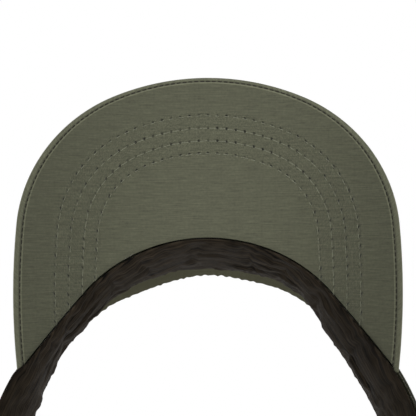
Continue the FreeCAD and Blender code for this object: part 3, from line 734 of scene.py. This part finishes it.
for ray in ("shadow", "diffuse", "glossy"):
    setattr(floor, f"visible_{ray}", False)

# %% [markdown]
# ## Bill cloth
# The under cloth is drawn in at each stitch row, so the cloth between rows stands up as a soft
# roll, and each needle hole pulls small puckers towards itself. The top cloth carries on round the
# board's edge and is turned under it as a narrow rolled strip. Both are grids between the edge and
# the root seam, and the stitches are laid later on the same relief formulas.

# %% Bill relief
GROOVES = [ROW_FIRST + k * ROW_PITCH + 0.25 * MM for k in range(ROWS)]
EDGE_SWELL = 0.35 * MM


SEAM_FRONT = 1.3 * MM
SEAM_END = 2.3 * MM


def seam_inset(run):
    """How far in from the edge the rolled strip is sewn down: narrow in front, wider beside."""
    return SEAM_FRONT + (SEAM_END - SEAM_FRONT) * smooth_step(np.abs(run), 20 * MM, 100 * MM)


def root_distance(x, forward):
    """Distance of plan points from the line where the bill's underside meets the sweatband."""
    root_x, root_f = root_line(LINING, 0.0, 0.0, 160)
    flat_x, flat_f = np.abs(np.ravel(x)), np.ravel(forward)
    gaps = np.hypot(flat_x[:, None] - root_x, flat_f[:, None] - root_f)
    return gaps.min(1).reshape(np.shape(x))


def sewn_relief(x, forward, seed):
    """Outward relief of sewn bill cloth: grooves at the rows, puckers and quilting between."""
    inset, run = row_place(x, forward)
    relief = 0.10 * MM * waves(x / (34 * MM), forward / (30 * MM), seed)
    quilted = smooth_step(inset, ROW_FIRST - 4 * MM, ROW_FIRST) * (
        1 - smooth_step(inset, GROOVES[-1], GROOVES[-1] + 4 * MM))
    relief = relief + 0.10 * MM * quilted
    for k, groove in enumerate(GROOVES):
        pull = bump(inset, groove, 2.0 * MM)
        phase = 2 * math.pi * run / ROW_STITCH
        relief = relief - 0.24 * MM * bump(inset, groove, 0.75 * MM)
        relief = relief - 0.07 * MM * pull * np.cos(phase)
        relief = relief + 0.07 * MM * pull * waves(run / (2.6 * MM), inset / (7 * MM), seed + k)
    margin = smooth_step(inset, 2 * MM, 4 * MM) * (1 - smooth_step(inset, 8 * MM, 15 * MM))
    folds = 0.13 * MM * waves(run / (5.5 * MM), inset / (60 * MM), seed + 9)
    folds = folds - 0.3 * MM * bump(run, 37 * MM, 2.2 * MM)
    folds = folds - 0.15 * MM * bump(run, 15 * MM, 2 * MM)
    return relief + margin * folds


def under_height(x, forward):
    """Height of the under cloth's outer face: it dips into the seams at the edge and the root."""
    inset, run = row_place(x, forward)
    seam = 1 - smooth_step(inset - seam_inset(run), 0, 1.6 * MM)
    root = 1 - smooth_step(root_distance(x, forward), 0, 2.5 * MM)
    relief = sewn_relief(x, forward, 5) * (1 - seam) * (1 - root)
    dip = 0.32 * MM * np.maximum(0.55 * seam**2, root)
    return np.clip(-0.12 * MM - relief + dip, None, 0.3 * MM)


def top_height(x, forward):
    """Height of the top cloth's outer face above the underside."""
    inset, _ = row_place(x, forward)
    calm = smooth_step(inset, 1.4 * MM, 4.5 * MM)
    return BILL_STACK + 0.15 * MM + calm * sewn_relief(x, forward, 33)


def mirrored(x, forward):
    """Right half of a plan line to the whole line, from the left end to the right."""
    return np.concatenate([-x[:0:-1], x]), np.concatenate([forward[:0:-1], forward])


def end_of_row(depth, height, inset):
    """Place on the outer edge beside the point where an inset row meets the wall."""
    x, forward = (v[-1] for v in root_line(depth, height, inset, 60))
    runs = np.linspace(0.5 * CORNER_RUN, 1.1 * CORNER_RUN, 3000)
    edge_x, edge_f = outline(runs, inset)
    return runs[np.argmin(np.hypot(edge_x - x, edge_f - forward))]


def bill_maps(x, forward, cloth_forward):
    """UV maps of bill cloth: flat cloth, place in the stitch rows, and place beside the seam."""
    inset, run = row_place(x, forward)
    cloth_x = ARCH_RADIUS * np.arcsin(x / ARCH_RADIUS)
    return {"cloth": np.stack([cloth_x, cloth_forward], -1), "rows": np.stack([run, inset], -1),
            "rim": np.stack([inset - seam_inset(run), run], -1)}


HALF_COLUMNS = 175

# %% Under cloth
end = end_of_row(LINING, 0.0, SEAM_END)
edge_runs = np.linspace(-end, end, 2 * HALF_COLUMNS - 1)
edge_x, edge_f = outline(edge_runs, seam_inset(edge_runs))
root_x, root_f = mirrored(*root_line(LINING, 0.0, SEAM_END, HALF_COLUMNS))
part = np.linspace(0, 1, 100)[None, :]
plan_x = edge_x[:, None] * (1 - part) + root_x[:, None] * part
plan_f = edge_f[:, None] * (1 - part) + root_f[:, None] * part
outer_height = under_height(plan_x, plan_f)
under_face = bill_point(plan_x, plan_f, outer_height)
under_back = bill_point(plan_x, plan_f, np.maximum(outer_height + 0.15 * MM, BILL_CLOTH))
bill_under_cloth = sheet("bill_under_cloth", under_face, under_back,
                         bill_maps(plan_x, plan_f, plan_f))
dress(bill_under_cloth, ripstop_rows, "cap", "ripstop", "bill_under_cover")

# %% Top cloth with its rolled edge
half = BILL_STACK / 2
around = np.radians(np.linspace(-90, 90, 15))
tuck = [0.15 * MM, -0.1 * MM, -0.35 * MM]
FOLDED = len(tuck) + len(around)
UNDER_PART = 9
roll_insets = half - (half + EDGE_SWELL) * np.cos(around)
roll_heights = np.concatenate([[0.3 * MM, 0.0, -0.16 * MM],
                               half + (half + 0.15 * MM) * np.sin(around)])
edge_runs = np.linspace(-CORNER_RUN, CORNER_RUN, 2 * HALF_COLUMNS - 1)
roll_places = [seam_inset(edge_runs) + t for t in tuck] + [r + 0 * edge_runs for r in roll_insets]
columns = []
for place, level in zip(roll_places, roll_heights):
    x, forward = outline(edge_runs, place)
    swell = 0.05 * MM * waves(edge_runs / (4 * MM), 0 * edge_runs + place / (4 * MM), 21)
    columns.append((x, forward, level + swell * np.sign(level - half)))
inner_x, inner_f = outline(edge_runs, half)
root_x, root_f = mirrored(*root_line(0.0, BILL_STACK, half, HALF_COLUMNS))
for share in np.linspace(0, 1, 92)[1:]:
    x = inner_x * (1 - share) + root_x * share
    forward = inner_f * (1 - share) + root_f * share
    columns.append((x, forward, top_height(x, forward)))
roll_x, roll_f, roll_h = (np.stack([c[i] for c in columns], 1) for i in range(3))
place = np.arange(roll_x.shape[1])
inward = np.where(place < FOLDED, BILL_CLOTH, 0.0)
inward[:2] *= (0.3, 0.6)
behind = roll_f + 20 * MM
shrink = inward / np.hypot(roll_x, behind)
lift = np.where(place < UNDER_PART, BILL_CLOTH, -BILL_CLOTH)
inner_h = np.clip(roll_h + lift, 0.42 * MM, BILL_STACK - 0.3 * MM)
top_face = bill_point(roll_x, roll_f, roll_h)
top_back = bill_point(roll_x * (1 - shrink), roll_f - shrink * behind, inner_h)
middle_insets = [float(np.mean(r)) for r in roll_places]
turned = np.concatenate([[0], np.cumsum(np.hypot(np.diff(middle_insets), np.diff(roll_heights)))])
cloth_f = roll_f.copy()
cloth_f[:, :len(turned)] += (turned[-1] - turned)[None, :]
bill_top_cloth = sheet("bill_top_cloth", top_face, top_back, bill_maps(roll_x, roll_f, cloth_f))
dress(bill_top_cloth, ripstop_rows, "cap", "ripstop", "bill_top_cover")

# %% [markdown]
# ## Band cloth
# The wall is three outer panels, a stiff interfacing and one long facing, all moved together by
# one displacement field, so the layers never cross. Outer cloth and facing are both turned in at
# the top and meet there in a seam, which gathers a little and makes the edge wavy. The field also
# holds what wearing does: one side is squeezed a little narrower than the other.

# %% Wall waves and layer builder


def rear_calm(along):
    """One in front, nothing near the rear, where the straps lie flat on the band."""
    return 1 - smooth_step(np.abs(along), RING_HALF - 60 * MM, RING_HALF - 45 * MM)


def wall_wave(along, height):
    """How far the whole wall is pushed outwards."""
    from_top = np.maximum(panel_top(along) - height, 0)
    soft = 0.4 * MM * waves(along / (46 * MM), height / (38 * MM), 51)
    gather = waves(along / (3.6 * MM), 0 * along, 52) * np.exp(-from_top / (6 * MM))
    worn = 2.2 * MM * bump(along, -90 * MM, 16 * MM) + 0.5 * MM * bump(along, 62 * MM, 16 * MM)
    worn = worn - 1.5 * MM * bump(along, -44 * MM, 19 * MM)
    low = smooth_step(height, 4 * MM, 30 * MM)
    return rear_calm(along) * ((soft + worn) * low + 0.16 * MM * gather)


def top_ripple(along):
    return 0.28 * MM * rear_calm(along) * waves(along / (3.4 * MM), 0 * along, 53)


def foot_height(along, depth, level):
    """Lower edge of the wall: on the bill in front of its corners, level behind them."""
    reach = np.abs(along)
    sits = np.maximum(on_bill(reach, depth, level), 0)
    return sits * (1 - smooth_step(reach, CORNER_ALONG - 0.5 * MM, CORNER_ALONG + 1.5 * MM))


NEAR_EDGE = 0.012


def layer(name, start, end, outer, inner, columns, rows, drop=0.0, rim=0.6 * MM, sink=0.0):
    """One layer of the wall as a closed sheet, from the bill or lower edge to the top line."""
    along = edged(start, end, 0.15 * MM, 0.5 * MM, columns)[:, None]
    top = panel_top(along) - drop + top_ripple(along)
    low = foot_height(along, outer, BILL_STACK) + sink
    near = NEAR_EDGE * (1 - np.cos(np.linspace(0, math.pi / 2, 4)))
    even = np.linspace(NEAR_EDGE, 1 - NEAR_EDGE, rows)
    share = np.concatenate([near[:-1], even, 1 - near[-2::-1]])[None, :]
    height = low + (top - low) * share
    rims = np.minimum.reduce([height - low, top - height, along - start + 0 * height,
                              end - along + 0 * height]) / rim
    round_in = 0.45 * (inner - outer) * (1 - round_edge(rims))
    face, normal = wall(along, height, outer + round_in)
    back, _ = wall(along, height, inner - round_in)
    shift = wall_wave(along, height)[..., None] * normal
    flat = np.stack([along + 0 * height, height / math.cos(LEAN)], -1)
    return sheet(name, face + shift, back + shift, {"cloth": flat})


tries = np.linspace(60 * MM, 160 * MM, 800)
SEAM_ALONG = float(np.interp(-28 * MM, wall(tries, 20 * MM, 0.0)[0][:, 1], tries))
END_ALONG = along_at_x(REAR_GAP / 2)
print(f"side seam {SEAM_ALONG / MM:.1f} mm along, band end {END_ALONG / MM:.1f} mm along")

# %% Panels, interfacing and facing
FRONT, LEFT, RIGHT = (-SEAM_ALONG, SEAM_ALONG), (SEAM_ALONG, END_ALONG), (-END_ALONG, -SEAM_ALONG)
for label, node, span, columns, rows in (
        ("front_panel_cloth", "front_panel", FRONT, 360, 48),
        ("side_panel_cloth_left", "side_panel_left", LEFT, 230, 34),
        ("side_panel_cloth_right", "side_panel_right", RIGHT, 230, 34)):
    dress(layer(label, *span, 0.0, PANEL, columns, rows), ripstop, "cap", "ripstop", node)
facing_cloth = layer("band_facing_cloth", -END_ALONG, END_ALONG, PANEL + INTERFACING, LINING,
                     760, 44)
dress(facing_cloth, shaded_ripstop_facing, "cap", "ripstop", "band_facing")
for label, node, span in (("front_buckram", "front_interfacing", FRONT),
                          ("side_buckram_left", "side_interfacing_left", LEFT),
                          ("side_buckram_right", "side_interfacing_right", RIGHT)):
    stiff = layer(label, *span, PANEL, PANEL + INTERFACING, 150, 26, drop=1.2 * MM,
                  rim=0.2 * MM, sink=1.5 * MM)
    dress(stiff, buckram, "cap", "interfacing", node)

# %% [markdown]
# ## Sweatband
# A strip of dark twill folded round soft foam, caught only along its lower edge, so it rolls at the
# seam, creases lengthwise and stands off the wall where nothing holds it. Its creases are long
# narrow dips whose height wanders, and it swells most behind the bill's corners.

# %% Sweatband shape


def sweat_swell(along):
    """How far the middle of the sweatband stands in from the wall, beyond its own thickness."""
    right = 2.4 * MM * bump(along, 84 * MM, 22 * MM) + 4.4 * MM * bump(along, 119 * MM, 20 * MM)
    left = 2.2 * MM * bump(along, -116 * MM, 14 * MM) + 1.2 * MM * bump(along, -138 * MM, 20 * MM)
    return 0.5 * MM + right + left


def sweat_creases(along, share):
    """Relief of the sweatband's inner face: lengthwise creases and small crinkles."""
    total = 0.0
    for place, wander, pace, deep, seed in ((0.16, 0.03, 60, 1.0, 1), (0.37, 0.09, 48, 1.3, 2),
                                            (0.60, 0.12, 41, 1.2, 3), (0.84, 0.05, 55, 0.6, 4)):
        line = place + wander * waves(along / (pace * MM), 0 * along, 60 + seed)
        fading = waves(along / (29 * MM), 0 * along + seed, 70 + seed)
        strength = 0.15 + 0.85 * np.clip(fading, 0, 1)
        total = total - deep * MM * strength * bump(share, line, 0.038)
        total = total + 0.4 * deep * MM * strength * bump(share, line + 0.09, 0.06)
    total = total + 0.15 * MM * waves(along / (14 * MM), share * 1.6, 80)
    return total + 0.07 * MM * waves(along / (3.2 * MM), share * 5.0, 81)


def sweatband_grids(reach_in, reach_out, trim=0.0):
    """Inner and outer face of the sweatband, or of the foam inside it, by shares of thickness."""
    end = END_ALONG - 0.2 * MM - trim
    along = np.linspace(-end, end, 620)[:, None]
    slack = smooth_step(-along, 104 * MM, 112 * MM) * rear_calm(along)
    top = sweat_top(along) + 0.45 * MM * waves(along / (15 * MM), 0 * along, 90)
    top = top - 1.1 * MM * bump(along, -22 * MM, 6 * MM) + 0.8 * MM * bump(along, -8 * MM, 7 * MM)
    top = top - 1.8 * MM * bump(along, -42 * MM, 13 * MM)
    low = foot_height(along, LINING, 0.0) - 0.9 * MM - 1.0 * MM * slack
    turn = np.linspace(0, math.pi, 46)[None, :]
    even = 0.5 - 0.5 * np.cos(turn) * (1 - 0.35 * np.sin(turn) ** 2)
    height = low + trim + (top - low - 1.7 * trim) * even
    share = (height - low) / (top - low)
    hem = round_edge((height - low) / (1.3 * MM))
    lip = round_edge((top - height) / (0.7 * MM))
    ends = np.minimum(along + END_ALONG, END_ALONG - along) / (1.2 * MM)
    thick = SWEATBAND * (0.6 + 0.4 * np.sin(math.pi * share)) * hem * lip
    thick = thick * np.sqrt(1 - 0.9 * (1 - np.clip(ends, 0, 1)) ** 2)
    stand = sweat_swell(along) * np.sin(0.5 * math.pi * share) * rear_calm(along)
    spread = 2.0 * MM * slack * (1 - smooth_step(height, -0.8 * MM, 0.3 * MM))
    center = LINING + 0.15 * MM + SWEATBAND / 2 + stand - spread
    crease = 0.9 * sweat_creases(along, share) * hem
    inner, normal = wall(along, height, center + reach_in * thick + crease)
    outer, _ = wall(along, height, center - reach_out * thick)
    shift = wall_wave(along, height)[..., None] * normal
    flat = np.stack([along + 0 * height, height / math.cos(LEAN)], -1)
    return inner + shift, outer + shift, flat


# %% [markdown]
# The foam pushes the cloth out between its seams. A coarse copy of the band, ten times as large so
# that the solver works at a comfortable size, is inflated a little with Blender's Cloth. Its hem,
# its lip and its back are held. How far its face moved is then added to the fine face.

# %% Puff the sweatband
SOLVER_SCALE = 10.0
COARSE_ROWS, COARSE_LINES = 170, 13
PUFF_FRAMES = 20
MOST_PUFF = 1.6 * MM


def stretched(values, places, count):
    """Rows of coarse values, filled in evenly along their first axis."""
    flat = values.reshape(len(places), -1)
    full = np.stack([np.interp(np.arange(count), places, column) for column in flat.T], 1)
    return full.reshape(count, *values.shape[1:])


def puffed(face, back):
    """How far each point of the face moves when the coarse band is inflated."""
    rows = np.unique(np.linspace(0, face.shape[0] - 1, COARSE_ROWS).astype(int))
    lines = np.unique(np.linspace(0, face.shape[1] - 1, COARSE_LINES).astype(int))
    coarse_face, coarse_back = face[np.ix_(rows, lines)], back[np.ix_(rows, lines)]
    coarse = sheet("puff_form", coarse_face * SOLVER_SCALE, coarse_back * SOLVER_SCALE, {})
    before = np.array([v.co for v in coarse.data.vertices])
    targets = coarse_face.reshape(-1, 3) * SOLVER_SCALE
    free = np.zeros(len(before), bool)
    order = np.empty(len(targets), int)
    for i, point in enumerate(targets):
        order[i] = np.argmin(((before - point) ** 2).sum(1))
        line = i % len(lines)
        free[order[i]] = 1 <= line < len(lines) - 2
    held = coarse.vertex_groups.new(name="held")
    held.add([int(i) for i in np.flatnonzero(~free)], 1.0, "REPLACE")
    cloth = coarse.modifiers.new("cloth", "CLOTH")
    settings = {"vertex_group_mass": "held", "quality": 6, "mass": 0.3, "tension_stiffness": 12,
                "compression_stiffness": 8, "bending_stiffness": 0.4, "use_pressure": True,
                "uniform_pressure_force": 3.0, "shrink_min": -0.05}
    for key, value in settings.items():
        setattr(cloth.settings, key, value)
    cloth.settings.effector_weights.gravity = 0
    cloth.collision_settings.use_collision = False
    cloth.point_cache.frame_start = 1
    cloth.point_cache.frame_end = PUFF_FRAMES
    for number in range(1, PUFF_FRAMES + 1):
        scene.frame_set(number)
    ready = coarse.evaluated_get(bpy.context.evaluated_depsgraph_get())
    after = np.array([v.co for v in ready.data.vertices])
    scene.frame_set(1)
    moved = ((after - before) / SOLVER_SCALE)[order].reshape(coarse_face.shape)
    away = coarse_face - coarse_back
    away = away / np.maximum(np.linalg.norm(away, axis=-1, keepdims=True), 1e-9)
    size = np.clip((moved * away).sum(-1, keepdims=True), 0, MOST_PUFF)
    print(f"puffed {size.mean() / MM:.2f} mm on average, {size.max() / MM:.2f} mm at most")
    mesh = coarse.data
    bpy.data.objects.remove(coarse)
    bpy.data.meshes.remove(mesh)
    wide = stretched(size * away, rows, face.shape[0])
    return stretched(wide.swapaxes(0, 1), lines, face.shape[1]).swapaxes(0, 1)


inner, outer, flat = sweatband_grids(0.5, 0.5)
plain_inner, plain_outer, _ = sweatband_grids(0.39, 0.5)
inner = inner + puffed(plain_inner, plain_outer)
sweatband = sheet("sweatband_cloth", inner, outer, {"cloth": flat})
dress(sweatband, twill_dark, "cap", "sweatband_twill", "sweatband_face")
inner, outer, flat = sweatband_grids(0.28, 0.3, 1.3 * MM)
sweat_foam = sheet("sweatband_foam", inner, outer, {"cloth": flat})
dress(sweat_foam, foam, "cap", "core_foam", "sweatband_core")

# %% [markdown]
# ## Stitches
# Every seam is a line of points that carry the cloth's outward normal. One Geometry Nodes tree
# walks the line at an even pitch and sets a small bowed thread at each step, turned along the line
# with its back to the cloth, and a little unevenly, as a machine does on soft cloth.

# %% Stitch tree
stitcher = bpy.data.node_groups.new("stitch_line", "GeometryNodeTree")
for label, kind in (("Geometry", "NodeSocketGeometry"), ("Pitch", "NodeSocketFloat"),
                    ("Length", "NodeSocketFloat"), ("Width", "NodeSocketFloat"),
                    ("Rise", "NodeSocketFloat"), ("Material", "NodeSocketMaterial")):
    stitcher.interface.new_socket(label, in_out="INPUT", socket_type=kind)
stitcher.interface.new_socket("Geometry", in_out="OUTPUT", socket_type="NodeSocketGeometry")
given = stitcher.nodes.new("NodeGroupInput")
result = stitcher.nodes.new("NodeGroupOutput")


def geo(kind, inputs=None, **settings):
    return place_node(stitcher, kind, inputs, **settings).outputs[0]


def part_of(name, share):
    inputs = {0: given.outputs[name], 1: share}
    return geo("ShaderNodeMath", inputs, operation="MULTIPLY")


curve = geo("GeometryNodeMeshToCurve", {"Mesh": given.outputs["Geometry"]})
steps = geo("GeometryNodeResampleCurve", {"Curve": curve, "Length": given.outputs["Pitch"]},
            mode="LENGTH")
dip = part_of("Rise", -1.0)
bow = geo("GeometryNodeCurveQuadraticBezier", {
    "Resolution": 6,
    "Start": geo("ShaderNodeCombineXYZ", {"X": part_of("Length", -0.5), "Z": dip}),
    "Middle": geo("ShaderNodeCombineXYZ", {"Z": part_of("Rise", 1.5)}),
    "End": geo("ShaderNodeCombineXYZ", {"X": part_of("Length", 0.5), "Z": dip})})
ring = geo("GeometryNodeCurvePrimitiveCircle", {"Resolution": 7, "Radius": part_of("Width", 0.5)})
thread = geo("GeometryNodeCurveToMesh", {"Curve": bow, "Profile Curve": ring, "Fill Caps": True})
rounded = geo("GeometryNodeSetShadeSmooth", {"Geometry": thread})
outward = geo("GeometryNodeInputNamedAttribute", {"Name": "outward"}, data_type="FLOAT_VECTOR")
aimed = geo("FunctionNodeAlignRotationToVector", {"Vector": geo("GeometryNodeInputTangent")},
            axis="X")
settled = geo("FunctionNodeAlignRotationToVector", {"Rotation": aimed, "Vector": outward},
              axis="Z", pivot_axis="X")
yaw = geo("FunctionNodeRandomValue", {"Min": (-0.02, -0.03, -0.09), "Max": (0.02, 0.03, 0.09),
                                      "Seed": 7}, data_type="FLOAT_VECTOR")
uneven = geo("FunctionNodeRotateRotation", {"Rotation": settled, "Rotate By": yaw},
             rotation_space="LOCAL")
placed = geo("GeometryNodeInstanceOnPoints", {"Points": steps, "Instance": rounded,
                                              "Rotation": uneven})
real = geo("GeometryNodeRealizeInstances", {"Geometry": placed})
colored = geo("GeometryNodeSetMaterial", {"Geometry": real, "Material": given.outputs["Material"]})
stitcher.links.new(colored, result.inputs[0])


def sew(name, lines, material, slot, nodes, pitch, length, width, rise=0.12 * MM):
    """Turns lines of (points, normals) into one mesh of stitches that stands for CAD nodes."""
    points = np.concatenate([line[0] for line in lines])
    normals = np.concatenate([line[1] for line in lines])
    edges = []
    first = 0
    for line in lines:
        edges += [(first + i, first + i + 1) for i in range(len(line[0]) - 1)]
        first += len(line[0])
    mesh = bpy.data.meshes.new(name + "_line")
    mesh.from_pydata(points.tolist(), edges, [])
    outward_data = mesh.attributes.new("outward", "FLOAT_VECTOR", "POINT")
    outward_data.data.foreach_set("vector", normals.ravel())
    line_object = bpy.data.objects.new(name + "_line", mesh)
    scene.collection.objects.link(line_object)
    modifier = line_object.modifiers.new("stitch_line", "NODES")
    modifier.node_group = stitcher
    values = {"Pitch": pitch, "Length": length, "Width": width, "Rise": rise, "Material": material}
    for item in stitcher.interface.items_tree:
        if item.in_out == "INPUT" and item.name in values:
            modifier[item.identifier] = values[item.name]
    bpy.context.view_layer.update()
    ready = line_object.evaluated_get(bpy.context.evaluated_depsgraph_get())
    made = bpy.data.meshes.new_from_object(ready)
    made.name = name
    bpy.data.objects.remove(line_object)
    bpy.data.meshes.remove(mesh)
    piece = bpy.data.objects.new(name, made)
    scene.collection.objects.link(piece)
    print(f"{name}: {len(made.polygons)} faces")
    return dress(piece, material, "cap", slot, *nodes)


def bill_line(inset, under, count=420, stop=1.2 * MM):
    """Line of stitching on one side of the bill, from wall to wall, at an inset of the run."""
    depth, level = (LINING, 0.0) if under else (0.0, BILL_STACK)
    end = end_of_row(depth, level, inset(CORNER_RUN)) - stop
    run = np.linspace(-end, end, count)
    x, forward = outline(run, inset(run))
    height = under_height(x, forward) if under else top_height(x, forward)
    side = -1.0 if under else 1.0
    return bill_point(x, forward, height), side * bill_normal(x)


def wall_line(start, end, height, depth, inner=False, count=500):
    """Line along the wall at a height given for each place along it."""
    along = np.linspace(start, end, count)
    level = height(along)
    point, normal = wall(along, level, depth)
    point = point + wall_wave(along, level)[..., None] * normal
    return point, -normal if inner else normal


# %% Sew the bill and band
for k, groove in enumerate(GROOVES):
    sides = [bill_line(lambda run, inset=groove: inset + 0 * run, under) for under in (True, False)]
    sew(f"row_thread_{k + 1}", sides, row_thread, "thread", [f"bill_stitch_row_{k + 1}"],
        ROW_STITCH, 3.3 * MM, 0.30 * MM)
edge_point, edge_normal = bill_line(seam_inset, True, stop=0.5 * MM)
sew("edge_thread", [(edge_point + 0.25 * MM * edge_normal, edge_normal)], seam_thread, "thread",
    ["bill_edge_stitch"], 2.6 * MM, 1.6 * MM, 0.46 * MM)
sew("top_edge_thread", [wall_line(-END_ALONG + 2 * MM, END_ALONG - 2 * MM,
                                  lambda a: panel_top(a) - 3.25 * MM, -0.05 * MM, count=900)],
    olive_thread, "thread", ["top_edge_stitch"], 2.9 * MM, 2.4 * MM, 0.34 * MM)
sew("sweatband_thread", [wall_line(-END_ALONG + 3 * MM, END_ALONG - 3 * MM,
                                   lambda a: sweat_top(a) - 2.2 * MM,
                                   LINING + 0.15 * MM + SWEATBAND * 0.95, True, 900)],
    dark_thread, "dark_thread", ["sweatband_stitch"], 2.9 * MM, 2.3 * MM, 0.36 * MM)
for side, label in ((1, "left"), (-1, "right")):
    heights = np.linspace(3 * MM, panel_top(np.array(SEAM_ALONG)) - 6 * MM, 60)
    place = side * (SEAM_ALONG + 2.25 * MM)
    point, normal = wall(place, heights, -0.05 * MM)
    point = point + wall_wave(place + 0 * heights, heights)[..., None] * normal
    sew(f"side_seam_thread_{label}", [(point, normal)], olive_thread, "thread",
        [f"side_seam_stitch_{label}"], 2.9 * MM, 2.4 * MM, 0.34 * MM)

# %% [markdown]
# ## Rear closure
# The band's ends are joined by two straps that cross. The loop strap is sewn to the right end and
# lies on the ring's own rear arc. The hook strap is sewn to the left end, bends outwards over the
# pile and can be peeled away about an upright line at its root. Its cloth is one ribbon that is
# given no body, and only its hook patch goes with the hook strap's body.

# %% Straps


def rear_point(place, outset, level):
    """Point behind the rear arc, a length along it from the middle, plus towards +X."""
    turn = place / REAR_RADIUS
    radius = REAR_RADIUS + outset - level * math.tan(LEAN)
    return np.stack([radius * np.sin(turn), rear_y + radius * np.cos(turn),
                     level + 0 * radius], -1)


def rear_strip(span, levels, outset_at, thickness, columns, rows, fuzz=0.0, seed=0):
    """Faces of a strip on the rear arc, where the outset is a function of place."""
    (start, end), (low, high) = span, levels
    place = edged(start, end, 0.12 * MM, 0.4 * MM, columns)[:, None]
    level = edged(low, high, 0.12 * MM, 0.4 * MM, rows)[None, :]
    rims = np.minimum.reduce([place - start + 0 * level, end - place + 0 * level,
                              level - low + 0 * place, high - level + 0 * place]) / (0.4 * MM)
    round_in = 0.45 * thickness * (1 - round_edge(rims))
    outset = outset_at(place)
    ripple = 0.05 * MM * waves(place / (12 * MM), level / (12 * MM), 110 + seed)
    ripple = ripple + fuzz * waves(place / (0.9 * MM), level / (0.9 * MM), 120 + seed)
    face = rear_point(place, outset + thickness - round_in + ripple, level)
    back = rear_point(place, outset + round_in + ripple * (fuzz == 0), level)
    return face, back, np.stack([place + 0 * level, level / math.cos(LEAN) + 0 * place], -1)


STRAP_LEVELS = (3 * MM, 23 * MM)
PATCH_LEVELS = (5 * MM, 21 * MM)
HOOK_OUT = 3.15 * MM
BEND_START = 24 * MM
BEND_END = 39 * MM
STRAP_CLOTH = 0.9 * MM


def hook_outset(place):
    """The hook strap rides over the pile and comes down to the band's face at its root."""
    return HOOK_OUT * (1 - smooth_step(place, BEND_START, BEND_END))


def strap_piece(name, *measures, **options):
    face, back, flat = rear_strip(*measures, **options)
    return sheet(name, face, back, {"cloth": flat})


loop_strap_cloth = strap_piece("loop_strap_cloth", (-46.4 * MM, 22 * MM), STRAP_LEVELS,
                               lambda place: 0 * place, STRAP_CLOTH, 120, 34, seed=1)
dress(loop_strap_cloth, ripstop, "cap", "strap_cloth", "loop_strap")
loop_pile = strap_piece("loop_pile", (-28.6 * MM, 20 * MM), PATCH_LEVELS,
                        lambda place: STRAP_CLOTH + 0 * place, 1.0 * MM, 150, 50,
                        fuzz=0.10 * MM, seed=2)
dress(loop_pile, loop_fibre, "cap", "loop_pile", "loop_patch")

hook_strap_cloth = strap_piece("hook_strap_cloth", (-28 * MM, 56 * MM), STRAP_LEVELS,
                               hook_outset, STRAP_CLOTH, 150, 34, seed=3)
dress(hook_strap_cloth, ripstop, None, "strap_cloth", "hook_strap", "hook_strap_root")
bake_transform(hook_strap_cloth)
hook_base = strap_piece("hook_base", (-26 * MM, 18 * MM), PATCH_LEVELS,
                        lambda place: HOOK_OUT - 0.35 * MM + 0 * place, 0.4 * MM, 60, 24, seed=3)
dress(hook_base, hook_plastic, "hook_strap", "hook_pile", "hook_patch")

# %% Bar tacks on the strap roots


def tack_line(place):
    """Zigzag of a bar tack across a strap, as one line up the strap."""
    level = np.linspace(*PATCH_LEVELS, 90)
    place = place + 0.5 * MM * np.where(np.arange(90) % 2 == 0, 1.0, -1.0)
    turn = place / REAR_RADIUS
    normal = np.stack([np.sin(turn) * math.cos(LEAN), np.cos(turn) * math.cos(LEAN),
                       math.sin(LEAN) + 0 * turn], -1)
    return rear_point(place, STRAP_CLOTH + 0.06 * MM, level), normal


for label, places in (("loop", (-44 * MM, -32.6 * MM)), ("hook", (41.5 * MM, 53.5 * MM))):
    sew(f"{label}_strap_tack_thread", [tack_line(place) for place in places], olive_thread,
        "thread", [f"{label}_strap_tacks"], 1.05 * MM, 1.15 * MM, 0.3 * MM, 0.05 * MM)

# %% Care label
LABEL_FROM, LABEL_TO = 47 * MM, 80 * MM
LABEL_LOW, LABEL_HIGH = 4 * MM, 21 * MM
label_along = np.linspace(178 * MM, 215 * MM, 400)
label_y = wall(-label_along, 12 * MM, LINING + SWEATBAND)[0][:, 1]
label_ends = np.interp((LABEL_FROM, LABEL_TO), label_y, label_along)
label_run = np.linspace(*label_ends, 60)[:, None]
label_level = np.linspace(LABEL_LOW, LABEL_HIGH, 30)[None, :]
lift = 0.25 * MM * waves(label_run / (14 * MM), label_level / (9 * MM), 140)
stand = LINING + SWEATBAND + 0.9 * MM + lift
face, normal = wall(-label_run, label_level, stand + 0.25 * MM)
back, _ = wall(-label_run, label_level, stand)
flat = np.stack([label_run + 0 * label_level, label_level + 0 * label_run], -1)
care_label = sheet("care_label_cloth", face, back, {"cloth": flat})
dress(care_label, label_cloth, "cap", "label", "care_label")

# %% [markdown]
# The CAD board stays as it is inside the bill and only gets its finish.

# %% Board finish
board_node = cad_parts["bill_board"]
board_node.data.materials.clear()
board_node.data.materials.append(board)
